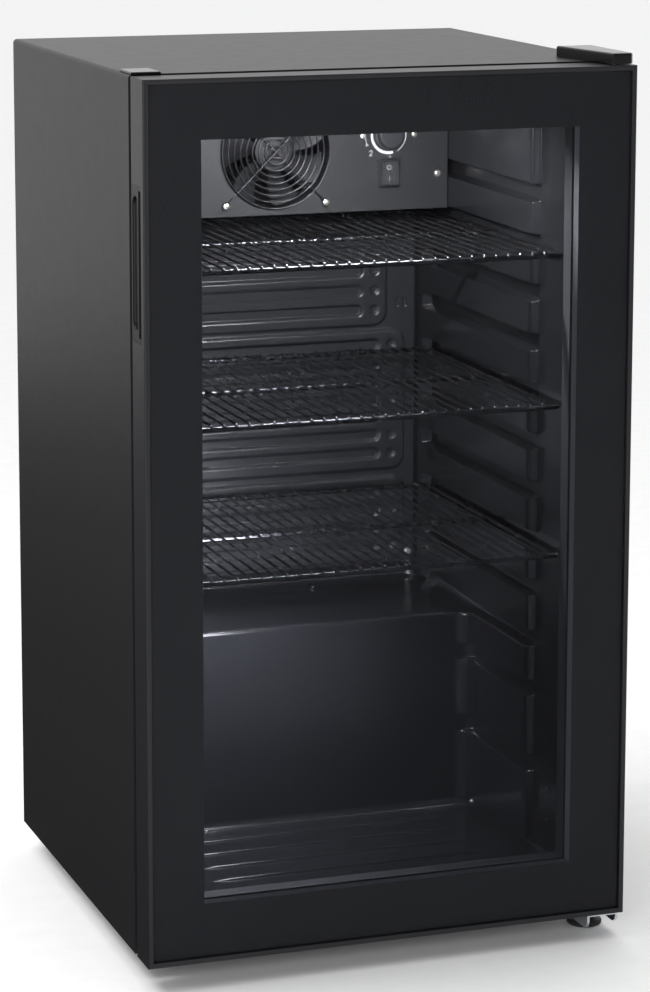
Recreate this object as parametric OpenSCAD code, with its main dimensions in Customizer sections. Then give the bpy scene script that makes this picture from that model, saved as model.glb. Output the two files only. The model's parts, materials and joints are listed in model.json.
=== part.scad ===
// Glass-door mini fridge: a foamed steel cabinet, a framed glass door on two
// pin hinges, three pull-out wire shelves and a forced-air cooling unit.
// +X is the hinge side, -Y is the front, +Z is up. The origin is on the floor
// under the middle of the fridge, door included.

/* [Cabinet] */
// Overall width of the cabinet and of the door
cab_w = 474; // [395:1:570]
// Height of the cabinet body above its underside
cab_h = 815; // [680:1:980]
// Depth of the cabinet body without the door
cab_d = 416.5; // [400:0.5:500]
// Height of the underside above the floor
leg_h = 25; // [24:0.5:30]
// Thickness of the steel sheet
sheet_t = 0.8; // [0.6:0.1:1]
// Outer radius of the two long top edges
edge_r = 4; // [2:0.5:8]
// Insulated side wall, outer face to liner face
side_wall = 47; // [42:1:56]
// Insulated top wall
top_wall = 42; // [38:1:60]
// Insulated back wall
back_wall = 41; // [36:1:50]
// Insulated floor
floor_wall = 35; // [30:1:42]
// Thickness of the plastic liner
liner_t = 2; // [1.5:0.1:2.5]
// How far the steel flange turns in around the opening
flange_w = 31; // [26:1:34]

/* [Liner] */
// Height of the step over the compressor, above the liner's floor
step_h = 205; // [190:1:240]
// Depth of that step, from the liner's back wall
step_d = 158; // [140:1:190]
// How far the side pads stand out from the liner's wall
pad_h = 10; // [7:0.5:12]
// Radius on the front end of each pad
pad_nose = 7; // [3:0.5:9]
// Setback of the pads from the cabinet's front
pad_setback = 66; // [50:1:80]
// Length of plain wall behind the shelf grooves
groove_stop = 22.5; // [15:0.5:30]
// Height of one shelf groove
groove_h = 15; // [10:0.5:18]
// Spacing of the shelf grooves
groove_pitch = 48.2; // [40:0.2:58]
// Height of the lowest regular groove above the liner's floor
groove_first = 264; // [240:1:300]
// Height of the floor ribs
rib_h = 3; // [1:0.5:5]
// Spacing of the floor ribs
rib_pitch = 38; // [30:0.5:39]
// Distance of the ribs' ends from the liner's side walls
rib_in = 50; // [30:1:80]

/* [Door] */
// Thickness of the door
door_t = 38; // [34:0.5:46]
// Gap between the door and the cabinet, filled by the gasket
door_gap = 6.5; // [5:0.5:8]
// Drop of the door's top below the cabinet's top
door_drop = 1; // [0.6:0.1:2]
// Width of the dark border around the window
border_w = 55; // [50:1:60]
// Width of the frame's lip around the glass
lip_w = 5; // [3:0.5:8]
// Thickness of each glass pane
pane_t = 4; // [3:0.5:5]
// Space between the two panes
pane_gap = 12; // [9:0.5:14]
// Wall thickness of the frame profiles
frame_t = 2.5; // [2:0.1:3]
// Outer depth of the frame profiles, seen from the front
chamber_w = 36.5; // [34:0.5:40]
// Width of the gasket
gasket_w = 16; // [12:1:18]

/* [Hinge] */
// Distance of the hinge axis from the cabinet's side
hinge_in = 15; // [12:0.5:18]
// Distance of the hinge axis behind the door's front
hinge_back = 20; // [18:0.5:24]
// Diameter of the hinge pins
pin_d = 7; // [5:0.5:9]
// Running clearance on the radius of every pin and shaft
run_gap = 0.05; // [0.02:0.01:0.1]
// Thickness of the hinge plates
hinge_t = 2.5; // [2:0.5:3]
// Height of the hinge cover above the cabinet
cover_h = 10; // [9:0.5:14]

/* [Handle] */
// Length of the finger slot
slot_l = 119; // [90:1:140]
// Width of the finger slot
slot_w = 15.5; // [12:0.5:17]
// Depth of the finger slot
slot_deep = 17; // [12:0.5:20]
// Height of the slot's middle above the floor
slot_z = 673.5; // [500:0.5:720]

/* [Shelves] */
// Regular grooves between two shelves
shelf_step = 3; // [2:1:3]
// Diameter of the frame rods
rod_d = 5; // [4:0.5:6]
// Diameter of the lengthwise wires
wire_d = 2.8; // [2:0.1:3.5]
// Spacing of the lengthwise wires
wire_pitch = 12.15; // [10:0.05:16]
// Room between the shelf's front rod and the cabinet's front
shelf_setback = 12; // [10:0.5:20]

/* [Cooling unit] */
// Outside width of the standard fan
fan_w = 119; // [90:1:120]
// Thickness of the fan
fan_t = 25; // [15:1:28]
// Screw pitch of the fan
fan_pitch = 105; // [80:0.5:105]
// Height of the lowest and of the middle channel field of the evaporator
field_low_h = 89; // [70:1:100]
field_mid_h = 144; // [110:0.5:150]
// Plain strip between two channel fields
field_gap = 8.5; // [6:0.5:14]
// Height of the duct cover
duct_h = 129; // [128:1:140]
// Depth of the duct cover, from the liner's back wall
duct_d = 91; // [80:1:110]
// Wall thickness of the duct cover
duct_t = 2.5; // [2:0.1:3]
// Distance of the dial from the duct cover's right edge
dial_in = 63.5; // [60:0.5:70]
// Diameter of the knob
knob_d = 27; // [22:1:30]

/* [Base] */
// Height of the compressor bay, floor of the cabinet to its roof
bay_h = 200; // [190:1:220]
// Depth of the compressor bay
bay_d = 161; // [155:1:190]
// Diameter of the compressor's can
can_d = 130; // [110:1:150]
// Diameter of the front feet
foot_d = 34; // [28:1:36]
// Diameter of the feet's threaded stems
stem_d = 8; // [6:0.5:10]

/* [Hidden] */
$fn = 40;

// Clearances
seat_gap = 0.2; // between pieces of one assembly that seat on each other
free_gap = 0.3; // between pieces that move past each other
eps = 1; // overrun of a cut

// Cabinet planes
half_w = cab_w / 2;
total_d = door_t + door_gap + cab_d;
door_front = -total_d / 2;
door_back = door_front + door_t;
cab_front = door_back + door_gap;
cab_back = total_d / 2;
under_z = leg_h;
top_z = leg_h + cab_h;
skin_x = half_w - sheet_t;

// Liner planes: these are the faces that the air touches
liner_x = half_w - side_wall;
liner_back = cab_back - back_wall;
floor_z = under_z + floor_wall;
ceil_z = top_z - top_wall;
step_y = liner_back - step_d;
step_z = floor_z + step_h;
flange_x = half_w - flange_w;
flange_top = top_z - flange_w;
flange_bottom = floor_z - liner_t - 14;
pad_x = liner_x - pad_h;
pad_front = cab_front + pad_setback;
groove_end = liner_back - groove_stop;
duct_z = ceil_z - duct_h;
duct_y = liner_back - duct_d;
upper_n = floor((duct_z + 45 - floor_z - groove_first) / groove_pitch);
upper_grooves = [for (i = [0 : upper_n]) floor_z + groove_first + i * groove_pitch];
lower_grooves = [floor_z + step_h * 0.425, floor_z + step_h * 0.795, step_z + groove_h / 2];
grooves = concat(lower_grooves, upper_grooves);

// Compressor bay
bay_front = cab_back - bay_d;
bay_z = under_z + bay_h;
rail_d = 110;
panel_in = 2; // how far the back panel sits inside the shell's rear edge

// Door planes
door_top = top_z - door_drop;
glass_front = door_front + 0.8;
glass_back = glass_front + pane_t;
print_t = 0.3;
print_back = glass_back + print_t;
pane2_front = print_back + pane_gap;
pane2_back = pane2_front + pane_t;
gasket_out = half_w - hinge_in - 1;
gasket_margin = half_w - gasket_out;
gasket_t = door_gap - free_gap;
slot_y = door_back - frame_t - 2 - slot_w / 2 - 0.1;
insert_l = slot_l + 23;

// Hinge
hinge_x = half_w - hinge_in;
hinge_y = door_front + hinge_back;
pin_r = pin_d / 2;
bush_r = pin_r + 3;
block_l = chamber_w - 2 * frame_t - 2 * seat_gap;
plate_z = under_z - 3; // upper face of the bottom hinge bracket

// Shelves
rod_r = rod_d / 2;
wire_r = wire_d / 2;
shelf_rod_x = liner_x - 2 - rod_r;
shelf_front = cab_front + shelf_setback;
shelf_back = groove_end - free_gap - rod_r;
wire_n = floor((shelf_rod_x - rod_r - 4) * 2 / wire_pitch);
shelf_grooves = [for (i = [0 : 2]) upper_grooves[upper_n - 1 - i * shelf_step]];

// Evaporator plate
plate_y = liner_back - 7;
plate_x = pad_x - 4;
plate_lo = step_z + 18;
plate_hi = duct_z - 5;
plate_edge = 4; // plain strip around the channel fields
field_z = [plate_lo + plate_edge, plate_lo + plate_edge + field_low_h + field_gap,
    plate_lo + plate_edge + field_low_h + field_mid_h + 2 * field_gap];

// Fan and controls
dial_x = pad_x - 0.5 - dial_in;
dial_z = ceil_z - 53.5;
fan_x = dial_x - 120;
fan_z = ceil_z - 66;
fan_front = duct_y + duct_t + seat_gap;
fan_r = fan_w / 2 - 3;
blade_n = 7;
ring_n = 9;
switch_z = dial_z - 37.5;
switch_w = 19;
switch_h = 25.5;
knob_out = 10;
strip_x = pad_x - 0.5 - duct_t - 8;

// Feet
foot_right = [half_w - 18, hinge_y + 31.5];
foot_left = [-(half_w - 42), cab_front + 44];
stem_r = stem_d / 2;
rear_foot = [half_w - 46, cab_back - 36];
can_x = -half_w * 0.32;
can_y = bay_front + bay_d * 0.5;
can_h = 132;
can_z = under_z + 2 + 9;
drain_x = 60;
drain_y = liner_back - 13;

// ---- helpers ----

function arc(cx, cy, r, a0, a1, n) =
    [for (i = [0 : n]) [cx + r * cos(a0 + (a1 - a0) * i / n), cy + r * sin(a0 + (a1 - a0) * i / n)]];

function rounded(x0, x1, y0, y1, r, n = 5) = concat(
    arc(x1 - r, y0 + r, r, -90, 0, n), arc(x1 - r, y1 - r, r, 0, 90, n),
    arc(x0 + r, y1 - r, r, 90, 180, n), arc(x0 + r, y0 + r, r, 180, 270, n));

// An arch outline: square at the foot, round at the two upper corners
function arch(x, y0, y1, r) = concat([[x, y0]], arc(x - r, y1 - r, r, 0, 90, 6),
    arc(-x + r, y1 - r, r, 90, 180, 6), [[-x, y0]]);

module box(x, y, z) {
    translate([x[0], y[0], z[0]]) cube([x[1] - x[0], y[1] - y[0], z[1] - z[0]]);
}

module slab_xz(points, y) {
    translate([0, y[1], 0]) rotate([90, 0, 0]) linear_extrude(y[1] - y[0]) polygon(points);
}

module slab_yz(points, x) {
    translate([x[0], 0, 0]) rotate([90, 0, 90]) linear_extrude(x[1] - x[0]) polygon(points);
}

module slab_xy(points, z) {
    translate([0, 0, z[0]]) linear_extrude(z[1] - z[0]) polygon(points);
}

module rod_x(y, z, x, r) { translate([x[0], y, z]) rotate([0, 90, 0]) cylinder(r = r, h = x[1] - x[0]); }

module rod_y(x, z, y, r) { translate([x, y[1], z]) rotate([90, 0, 0]) cylinder(r = r, h = y[1] - y[0]); }

module rod_z(x, y, z, r) { translate([x, y, z[0]]) cylinder(r = r, h = z[1] - z[0]); }

module both_sides() {
    children();
    mirror([1, 0, 0]) children();
}

// A screw whose head sits on a face that looks towards the front
module screw_front(x, z, y, len, head_r = 3.6, r = 1.9) {
    rod_y(x, z, [y - 2, y], head_r);
    rod_y(x, z, [y - 0.5, y + len], r);
}

// ---- cabinet ----

module outer_shell() {
    color([0.2, 0.2, 0.21]) union() {
        difference() {
            slab_xz(arch(half_w, under_z, top_z, edge_r), [cab_front, cab_back]);
            slab_xz(arch(skin_x, under_z - eps, top_z - sheet_t, edge_r - sheet_t),
                [cab_front + sheet_t, cab_back + eps]);
            box([-flange_x, flange_x], [cab_front - eps, cab_front + 2], [under_z - eps, flange_top]);
            hinge_screw_cuts(2.3);
        }
        both_sides() difference() {
            box([half_w - 15, half_w - sheet_t / 2],
                [cab_back - panel_in - 2 * sheet_t, cab_back - panel_in - sheet_t],
                [bay_z + 1, top_z - sheet_t - 1]);
            for (z = panel_screw_z()) rod_y(half_w - 8, z, [cab_back - 8, cab_back], 2.1);
        }
    }
}

function top_screw_at() = [[hinge_x - 8, cab_front + 22], [hinge_x - 8, cab_front + 40],
    [hinge_x + 5, cab_front + 40]];

module hinge_screw_cuts(r) {
    for (p = top_screw_at()) rod_z(p[0], p[1], [top_z - 12, top_z + 4], r);
}

module back_panel() {
    outer = cab_back - panel_in;
    color([0.16, 0.16, 0.17]) union() {
        difference() {
            slab_xz(arch(skin_x - seat_gap, bay_z + 1, top_z - sheet_t - seat_gap, edge_r),
                [outer - sheet_t, outer]);
            for (z = panel_screw_z()) both_sides()
                rod_y(half_w - 8, z, [outer - 3, outer + eps], 2.1);
        }
        for (i = [-2 : 2]) box([i * 76 - 5, i * 76 + 5], [outer - 0.1, outer + 0.8],
            [bay_z + 50, top_z - 60]);
    }
}

function panel_screw_z() = [for (i = [0 : 3]) bay_z + 30 + i * (top_z - bay_z - 60) / 3];

module panel_screws() {
    y = cab_back - panel_in;
    color([0.7, 0.7, 0.72]) for (z = panel_screw_z()) both_sides() {
        rod_y(half_w - 8, z, [y, y + 1.7], 3.6);
        rod_y(half_w - 8, z, [y - 9, y + 0.5], 1.9);
    }
}

module front_rail() {
    color([0.2, 0.2, 0.21]) difference() {
        union() {
            box([-skin_x + seat_gap, skin_x - seat_gap], [cab_front + sheet_t + seat_gap, cab_front + 2.8],
                [under_z, flange_bottom - seat_gap]);
            box([-flange_x + seat_gap, flange_x - seat_gap], [cab_front, cab_front + 2],
                [under_z, flange_bottom - seat_gap]);
            box([-skin_x + seat_gap, skin_x - seat_gap], [cab_front + 2, cab_front + rail_d],
                [under_z, under_z + 1.5]);
        }
        rod_z(foot_left[0], foot_left[1], [under_z - eps, under_z + 4], stem_r + 1);
        bottom_screw_cuts(2.3);
    }
}

module bottom_screw_cuts(r) {
    for (p = bottom_screw_at()) rod_z(p[0], p[1], [under_z - 8, under_z + 14], r);
}

function bottom_screw_at() = [[hinge_x - 9, cab_front + 42], [hinge_x + 7, cab_front + 42],
    [hinge_x - 1, cab_front + 58]];

module base_pan() {
    color([0.5, 0.51, 0.52]) difference() {
        union() {
            box([-skin_x + seat_gap, skin_x - seat_gap], [cab_front + rail_d + seat_gap, bay_front],
                [under_z, under_z + sheet_t]);
            box([-skin_x + seat_gap, skin_x - seat_gap], [bay_front - sheet_t, bay_front],
                [under_z, bay_z]);
            box([-skin_x + seat_gap, skin_x - seat_gap], [bay_front - sheet_t, cab_back - 5],
                [bay_z - sheet_t, bay_z]);
        }
        rod_z(drain_x, drain_y, [bay_z - 5, bay_z + 5], 6.6);
        for (x = pipe_x()) rod_z(x, bay_front + 24, [bay_z - 5, bay_z + 5], 4.6);
    }
}

module foam_insulation() {
    color([0.86, 0.78, 0.55]) difference() {
        box([-skin_x + 0.4, skin_x - 0.4], [cab_front + 3.4, cab_back - 4.2],
            [under_z + 1.9, top_z - sheet_t - 0.4]);
        box([-half_w, half_w], [bay_front - sheet_t - 0.4, cab_back + eps], [0, bay_z + 0.4]);
        liner_form(liner_t + seat_gap, cab_front);
        both_sides() {
            box([half_w - 18, half_w + eps], [cab_back - 16, cab_back], [0, top_z + eps]);
            box([half_w - 8, half_w + eps], [coil_y()[0] - 5, coil_y()[1] + 5],
                [coil_z()[0] - 5, coil_z()[1] + 5]);
            box([hinge_x - 20, half_w + eps], [cab_front, cab_front + 56], [top_z - 16, top_z + eps]);
            box([skin_x - edge_r, half_w], [cab_front, cab_back], [top_z - edge_r, top_z]);
        }
        rod_z(foot_left[0], foot_left[1], [under_z, under_z + 24], stem_r + 4);
        bottom_screw_cuts(4);
        box([-flange_x - 6, flange_x + 6], [cab_front, cab_front + 6], [under_z, top_z - 20]);
        rod_z(drain_x, drain_y, [bay_z - 5, step_z + eps], 6.6);
        for (x = pipe_x()) rod_z(x, bay_front + 24, [bay_z - 5, bay_z + 26], 4.6);
    }
}

function coil_y() = [cab_front + 60, cab_back - 46];
function coil_z() = [bay_z + 60, top_z - 70];

// The liner's outside form, grown by g, open at the front from plane y0
module liner_form(g, y0) {
    difference() {
        box([-liner_x - g, liner_x + g], [y0 - eps, liner_back + g], [floor_z - g, ceil_z + g]);
        box([-half_w, half_w], [step_y + g, cab_back], [0, step_z - g]);
    }
}

// One side pad: a block with a round front end, between heights z0 and z1
module pad(z0, z1, y1) {
    slab_xy(concat([[liner_x + 0.5, pad_front]],
        arc(pad_x + pad_nose, pad_front + pad_nose, pad_nose, 270, 180, 5),
        [[pad_x, y1], [liner_x + 0.5, y1]]), [z0, z1]);
}

module side_pads() {
    edges = concat([floor_z + 8], [for (g = grooves) each [g - groove_h / 2, g + groove_h / 2]],
        [ceil_z - 12]);
    for (i = [0 : 2 : len(edges) - 1])
        pad(edges[i], edges[i + 1], edges[i] < step_z - 5 ? step_y + 0.5 : liner_back + 0.5);
    pad_column();
}

module pad_column() {
    box([pad_x, liner_x + 0.5], [groove_end, liner_back + 0.5], [step_z - 0.5, ceil_z - 12]);
}

module inner_liner() {
    color([0.17, 0.17, 0.18]) difference() {
        union() {
            difference() {
                liner_form(liner_t, cab_front + 1);
                liner_form(0, cab_front - 2);
            }
            both_sides() side_pads();
            difference() {
                box([-flange_x + seat_gap, flange_x - seat_gap], [cab_front, cab_front + liner_t],
                    [flange_bottom, flange_top - seat_gap]);
                box([-liner_x, liner_x], [cab_front - eps, cab_front + 5], [floor_z, ceil_z]);
            }
            for (i = [0 : 3])
                box([-liner_x + rib_in, liner_x - rib_in],
                    [step_y - 34 - i * rib_pitch, step_y - 28 - i * rib_pitch],
                    [floor_z - 0.5, floor_z + rib_h]);
        }
        rod_z(drain_x, drain_y, [step_z - 5, step_z + eps], 4.6);
    }
}

// The hot-gas tube behind each side skin: straight runs joined by return bends
module condenser_coil() {
    runs = 7;
    pitch = (coil_z()[1] - coil_z()[0] - 5) / (runs - 1);
    color([0.72, 0.45, 0.2]) both_sides() for (i = [0 : runs - 1]) {
        z = coil_z()[0] + 2.5 + i * pitch;
        box([skin_x - 5.4, skin_x - 0.6], coil_y(), [z - 2.4, z + 2.4]);
        if (i < runs - 1) box([skin_x - 5.4, skin_x - 0.6],
            i % 2 == 0 ? [coil_y()[1] - 4.8, coil_y()[1]] : [coil_y()[0], coil_y()[0] + 4.8],
            [z, z + pitch]);
    }
}

// ---- cooling unit ----

// One raised channel field with a row of sunken islands
module channel_field(x, z0, z1) {
    n = floor((z1 - z0 - 8) / 20);
    pitch = (z1 - z0 - 8) / n;
    difference() {
        slab_xz(rounded(-x, x, z0, z1, 12), [plate_y - 1.8, plate_y - 0.5]);
        for (i = [0 : n - 1])
            slab_xz(rounded(-x + 24, x - 24, z0 + 8 + i * pitch, z0 + i * pitch + pitch, 4, 3),
                [plate_y - 3, plate_y]);
    }
}

module evaporator_plate() {
    color([0.33, 0.33, 0.35]) difference() {
        union() {
            box([-plate_x, plate_x], [plate_y - 1, plate_y + 0.5], [plate_lo, plate_hi]);
            channel_field(plate_x - 12, field_z[0], field_z[0] + field_low_h);
            channel_field(plate_x - 12, field_z[1], field_z[1] + field_mid_h);
            channel_field(plate_x - 32, field_z[2], plate_hi - plate_edge);
        }
        for (p = evaporator_at()) rod_y(p[0], p[1], [plate_y - 3, plate_y + 2], 2.2);
    }
}

function evaporator_at() = [for (x = [-1, 1]) for (z = [plate_lo + 11, plate_hi - 11])
    [x * (plate_x - 6), z]];

module evaporator_standoffs() {
    color([0.1, 0.1, 0.1]) for (p = evaporator_at()) difference() {
        rod_y(p[0], p[1], [plate_y + 0.5 + 0.05, liner_back - 0.05], 5);
        rod_y(p[0], p[1], [plate_y - 1, liner_back + 1], 2.2);
    }
}

module evaporator_screws() {
    color([0.8, 0.8, 0.82]) for (p = evaporator_at())
        screw_front(p[0], p[1], plate_y - 1, 7.4, 3.6, 1.8);
}

module duct_cover() {
    cover_x = pad_x - 0.5;
    back = liner_back - 0.3;
    top = ceil_z - 0.3;
    color([0.29, 0.29, 0.3]) difference() {
        box([-cover_x, cover_x], [duct_y, back], [duct_z, top]);
        box([-cover_x + duct_t, cover_x - duct_t], [duct_y + duct_t, back + eps],
            [duct_z + duct_t, top + eps]);
        rod_y(fan_x, fan_z, [duct_y - eps, duct_y + 5], fan_r);
        for (p = fan_screw_at()) rod_y(p[0], p[1], [duct_y - eps, duct_y + 5], 2.2);
        rod_y(dial_x, dial_z, [duct_y - eps, duct_y + 5], 5);
        for (x = [-27.5, 27.5]) rod_y(dial_x + x, dial_z, [duct_y - eps, duct_y + 5], 1.9);
        box([dial_x - switch_w / 2, dial_x + switch_w / 2], [duct_y - eps, duct_y + 5],
            [switch_z - switch_h / 2, switch_z + switch_h / 2]);
        for (p = cover_screw_at()) rod_y(p[0], p[1], [duct_y - eps, duct_y + 5], 2.2);
        for (i = [-5 : 5]) box([i * 24 - 8, i * 24 + 8], [duct_y + 40, duct_y + 68],
            [duct_z - eps, duct_z + 5]);
    }
}

function cover_screw_at() = [for (s = [-1, 1]) for (z = [duct_z + 35, ceil_z - 18]) [s * strip_x, z]];
function fan_screw_at() = [for (x = [-1, 1]) for (z = [-1, 1])
    [fan_x + x * fan_pitch / 2, fan_z + z * fan_pitch / 2]];

// Steel strips behind the cover's edges that its screws bite into
module cover_strips() {
    color([0.6, 0.6, 0.62]) both_sides() difference() {
        box([strip_x - 6, strip_x + 7.5], [duct_y + duct_t + 0.1, duct_y + duct_t + 1.6],
            [duct_z + 8, ceil_z - 4]);
        for (z = [duct_z + 35, ceil_z - 18])
            rod_y(strip_x, z, [duct_y, duct_y + duct_t + 3], 1.9 + 0.1);
    }
}

module cover_screws() {
    color([0.85, 0.84, 0.8]) for (p = cover_screw_at()) screw_front(p[0], p[1], duct_y, 7);
}

module fan_frame() {
    y0 = fan_front;
    y1 = fan_front + fan_t;
    h = fan_w / 2;
    color([0.08, 0.08, 0.09]) union() {
        difference() {
            slab_xz(rounded(fan_x - h, fan_x + h, fan_z - h, fan_z + h, 5, 3), [y0, y1]);
            rod_y(fan_x, fan_z, [y0 - eps, y1 + eps], fan_r);
            for (p = fan_screw_at()) rod_y(p[0], p[1], [y0 - eps, y1 + eps], 2.2);
        }
        for (a = [45, 135]) translate([fan_x, 0, fan_z]) rotate([0, a, 0])
            box([-fan_r - 1, fan_r + 1], [y1 - 4, y1], [-2.5, 2.5]);
        rod_y(fan_x, fan_z, [y1 - 5, y1], 19);
        rod_y(fan_x, fan_z, [y1 - 17, y1 - 4.5], 1.5);
    }
}

module fan_blades() {
    y0 = fan_front + 3;
    y1 = fan_front + fan_t - 6;
    color([0.1, 0.1, 0.11]) translate([fan_x, 0, fan_z]) difference() {
        union() {
            rod_y(0, 0, [y0, y1], 20);
            intersection() {
                rod_y(0, 0, [y0, y1 - 0.5], fan_r - 1.5);
                for (i = [0 : blade_n - 1]) rotate([0, i * 360 / blade_n, 0])
                    translate([17, (y0 + y1) / 2, 0]) rotate([52, 0, 0])
                        cube([60, 2, 30], center = false);
            }
        }
        rod_y(0, 0, [y0 + 3, y1 + eps], 1.5 + run_gap);
    }
}

module ring_y(r, w, y) {
    translate([fan_x, y[1], fan_z]) rotate([90, 0, 0]) rotate_extrude($fn = 48)
        translate([r - w / 2, 0]) square([w, y[1] - y[0]]);
}

module fan_guard() {
    y1 = duct_y - 0.1;
    color([0.7, 0.71, 0.72]) difference() {
        union() {
            for (i = [1 : ring_n]) ring_y(i * (fan_r + 1) / ring_n, 1.6, [y1 - 3.4, y1 - 1.7]);
            for (a = [45, 135]) translate([fan_x, 0, fan_z]) rotate([0, a, 0])
                box([-fan_pitch * 0.7071, fan_pitch * 0.7071], [y1 - 2, y1], [-1.1, 1.1]);
            for (p = fan_screw_at()) rod_y(p[0], p[1], [y1 - 2, y1], 4);
        }
        for (p = fan_screw_at()) rod_y(p[0], p[1], [y1 - 4, y1 + eps], 2.2);
    }
}

module fan_screws() {
    color([0.85, 0.84, 0.8]) for (p = fan_screw_at()) screw_front(p[0], p[1], duct_y - 2.2, 16);
}

module thermostat_body() {
    y0 = duct_y + duct_t + 0.2;
    color([0.75, 0.76, 0.78]) difference() {
        union() {
            box([dial_x - 32, dial_x + 32], [y0, y0 + 1.5], [dial_z - 14, dial_z + 14]);
            box([dial_x - 20, dial_x + 20], [y0 + 1, y0 + 26], [dial_z - 13, dial_z + 13]);
            rod_y(dial_x, dial_z, [duct_y - 8, y0 + 5], 3);
        }
        for (x = [-27.5, 27.5]) rod_y(dial_x + x, dial_z, [y0 - eps, y0 + 5], 1.9);
    }
}

module thermostat_screws() {
    color([0.85, 0.84, 0.8]) for (x = [-27.5, 27.5])
        screw_front(dial_x + x, dial_z, duct_y, 6, 3, 1.6);
}

module thermostat_knob() {
    y1 = duct_y - free_gap;
    color([0.22, 0.22, 0.23]) difference() {
        union() {
            rod_y(dial_x, dial_z, [y1 - 4, y1], knob_d / 2 + 2);
            rod_y(dial_x, dial_z, [y1 - knob_out, y1 - 3], knob_d / 2);
        }
        rod_y(dial_x, dial_z, [y1 - 8.2, y1 + eps], 3 + run_gap);
        box([dial_x - 1, dial_x + 1], [y1 - knob_out - eps, y1 - knob_out + 1],
            [dial_z + 5, dial_z + knob_d / 2 + eps]);
    }
}

module switch_body() {
    y0 = duct_y;
    w = switch_w / 2;
    h = switch_h / 2;
    color([0.06, 0.06, 0.06]) difference() {
        union() {
            box([dial_x - w - 1.6, dial_x + w + 1.6], [y0 - 1.5, y0], [switch_z - h - 1.6, switch_z + h + 1.6]);
            box([dial_x - w + 0.2, dial_x + w - 0.2], [y0 - 0.5, y0 + 20],
                [switch_z - h + 0.2, switch_z + h - 0.2]);
        }
        box([dial_x - w + 1.6, dial_x + w - 1.6], [y0 - 3, y0 + 12], [switch_z - h + 1.6, switch_z + h - 1.6]);
    }
}

// The rocker's two faces meet at the pivot; its upper half is the one pressed in
module switch_rocker() {
    w = switch_w / 2 - 2;
    h = switch_h / 2 - 2.6;
    y0 = duct_y;
    color([0.09, 0.09, 0.1]) slab_yz([[y0 + 7, switch_z - 3], [y0 + 7, switch_z + 3],
        [y0 + 3, switch_z + h], [y0 - 1, switch_z + h], [y0 - 1.6, switch_z],
        [y0 - 3.4, switch_z - h], [y0 + 3, switch_z - h]], [dial_x - w, dial_x + w]);
}

module switch_boot() {
    w = switch_w / 2 + 2;
    h = switch_h / 2 + 2;
    color([0.8, 0.82, 0.85, 0.35]) difference() {
        box([dial_x - w - 1, dial_x + w + 1], [duct_y - 8, duct_y], [switch_z - h - 1, switch_z + h + 1]);
        box([dial_x - w, dial_x + w], [duct_y - 7, duct_y + eps], [switch_z - h, switch_z + h]);
    }
}

module light_housing() {
    y0 = cab_front + 40;
    color([0.85, 0.85, 0.86]) difference() {
        box([-100, 100], [y0, y0 + 24], [ceil_z - 8, ceil_z - 0.2]);
        box([-98, 98], [y0 + 2, y0 + 22], [ceil_z - 9, ceil_z - 2]);
    }
}

module light_diffuser() {
    y0 = cab_front + 40;
    color([0.95, 0.95, 0.93, 0.6]) box([-97.8, 97.8], [y0 + 2.2, y0 + 21.8], [ceil_z - 10, ceil_z - 4]);
}

// ---- shelves ----

module wire_shelf(groove) {
    z = groove - groove_h / 2 + 0.4 + rod_r;
    wire_z = z + rod_r + wire_r - 0.5;
    rails = [shelf_front, shelf_front + (shelf_back - shelf_front) * 0.5, shelf_back];
    color([0.72, 0.73, 0.74]) union() {
        both_sides() rod_y(shelf_rod_x, z, [shelf_front, shelf_back], rod_r, $fn = 12);
        for (y = rails) rod_x(y, z, [-shelf_rod_x - rod_r, shelf_rod_x + rod_r], rod_r + 0.1, $fn = 12);
        for (i = [0 : wire_n - 1]) {
            x = (i - (wire_n - 1) / 2) * wire_pitch;
            box([x - wire_r, x + wire_r], [shelf_front - 1, shelf_back + 1],
                [wire_z - wire_r, wire_z + wire_r]);
        }
    }
}

module shelf_top() wire_shelf(shelf_grooves[0]);

module shelf_middle() wire_shelf(shelf_grooves[1]);

module shelf_bottom() wire_shelf(shelf_grooves[2]);

// ---- door ----

// A rectangular ring in the door's plane, inset from the door's edges by a and b
module ring(a, b, y) {
    difference() {
        box([-half_w + a, half_w - a], y, [under_z + a, door_top - a]);
        box([-half_w + b, half_w - b], [y[0] - eps, y[1] + eps], [under_z + b, door_top - b]);
    }
}

module frame_ring() {
    difference() {
        ring(0, chamber_w, [door_front, door_back]);
        box([-half_w + lip_w, half_w - lip_w], [door_front - eps, print_back],
            [under_z + lip_w, door_top - lip_w]);
        ring(frame_t, chamber_w - frame_t, [print_back + frame_t, door_back - frame_t]);
        for (z = [under_z, door_top]) rod_z(hinge_x, hinge_y, [z - 3, z + 3], bush_r + run_gap);
    }
}

// Wedges that mitre the ring into two stiles and two rails
module stile_wedge() {
    m = chamber_w + 5;
    slab_xz([[-half_w - eps, under_z - eps], [-half_w + m, under_z + m], [-half_w + m, door_top - m],
        [-half_w - eps, door_top + eps]], [door_front - eps, door_back + eps]);
}

module rail_wedge(z0, dir) {
    m = chamber_w + 5;
    slab_xz([[-half_w - eps, z0 - dir * eps], [half_w + eps, z0 - dir * eps],
        [half_w - m, z0 + dir * m], [-half_w + m, z0 + dir * m]], [door_front - eps, door_back + eps]);
}

module door_stile_left() {
    color([0.24, 0.24, 0.27]) difference() {
        intersection() {
            frame_ring();
            stile_wedge();
        }
        box([-half_w - eps, -half_w + frame_t + 0.5],
            [print_back + frame_t, door_back - frame_t],
            [slot_z - insert_l / 2, slot_z + insert_l / 2]);
    }
}

module door_stile_right() {
    color([0.24, 0.24, 0.27]) intersection() {
        frame_ring();
        mirror([1, 0, 0]) stile_wedge();
    }
}

module door_rail_top() {
    color([0.24, 0.24, 0.27]) intersection() {
        frame_ring();
        rail_wedge(door_top, -1);
    }
}

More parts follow.
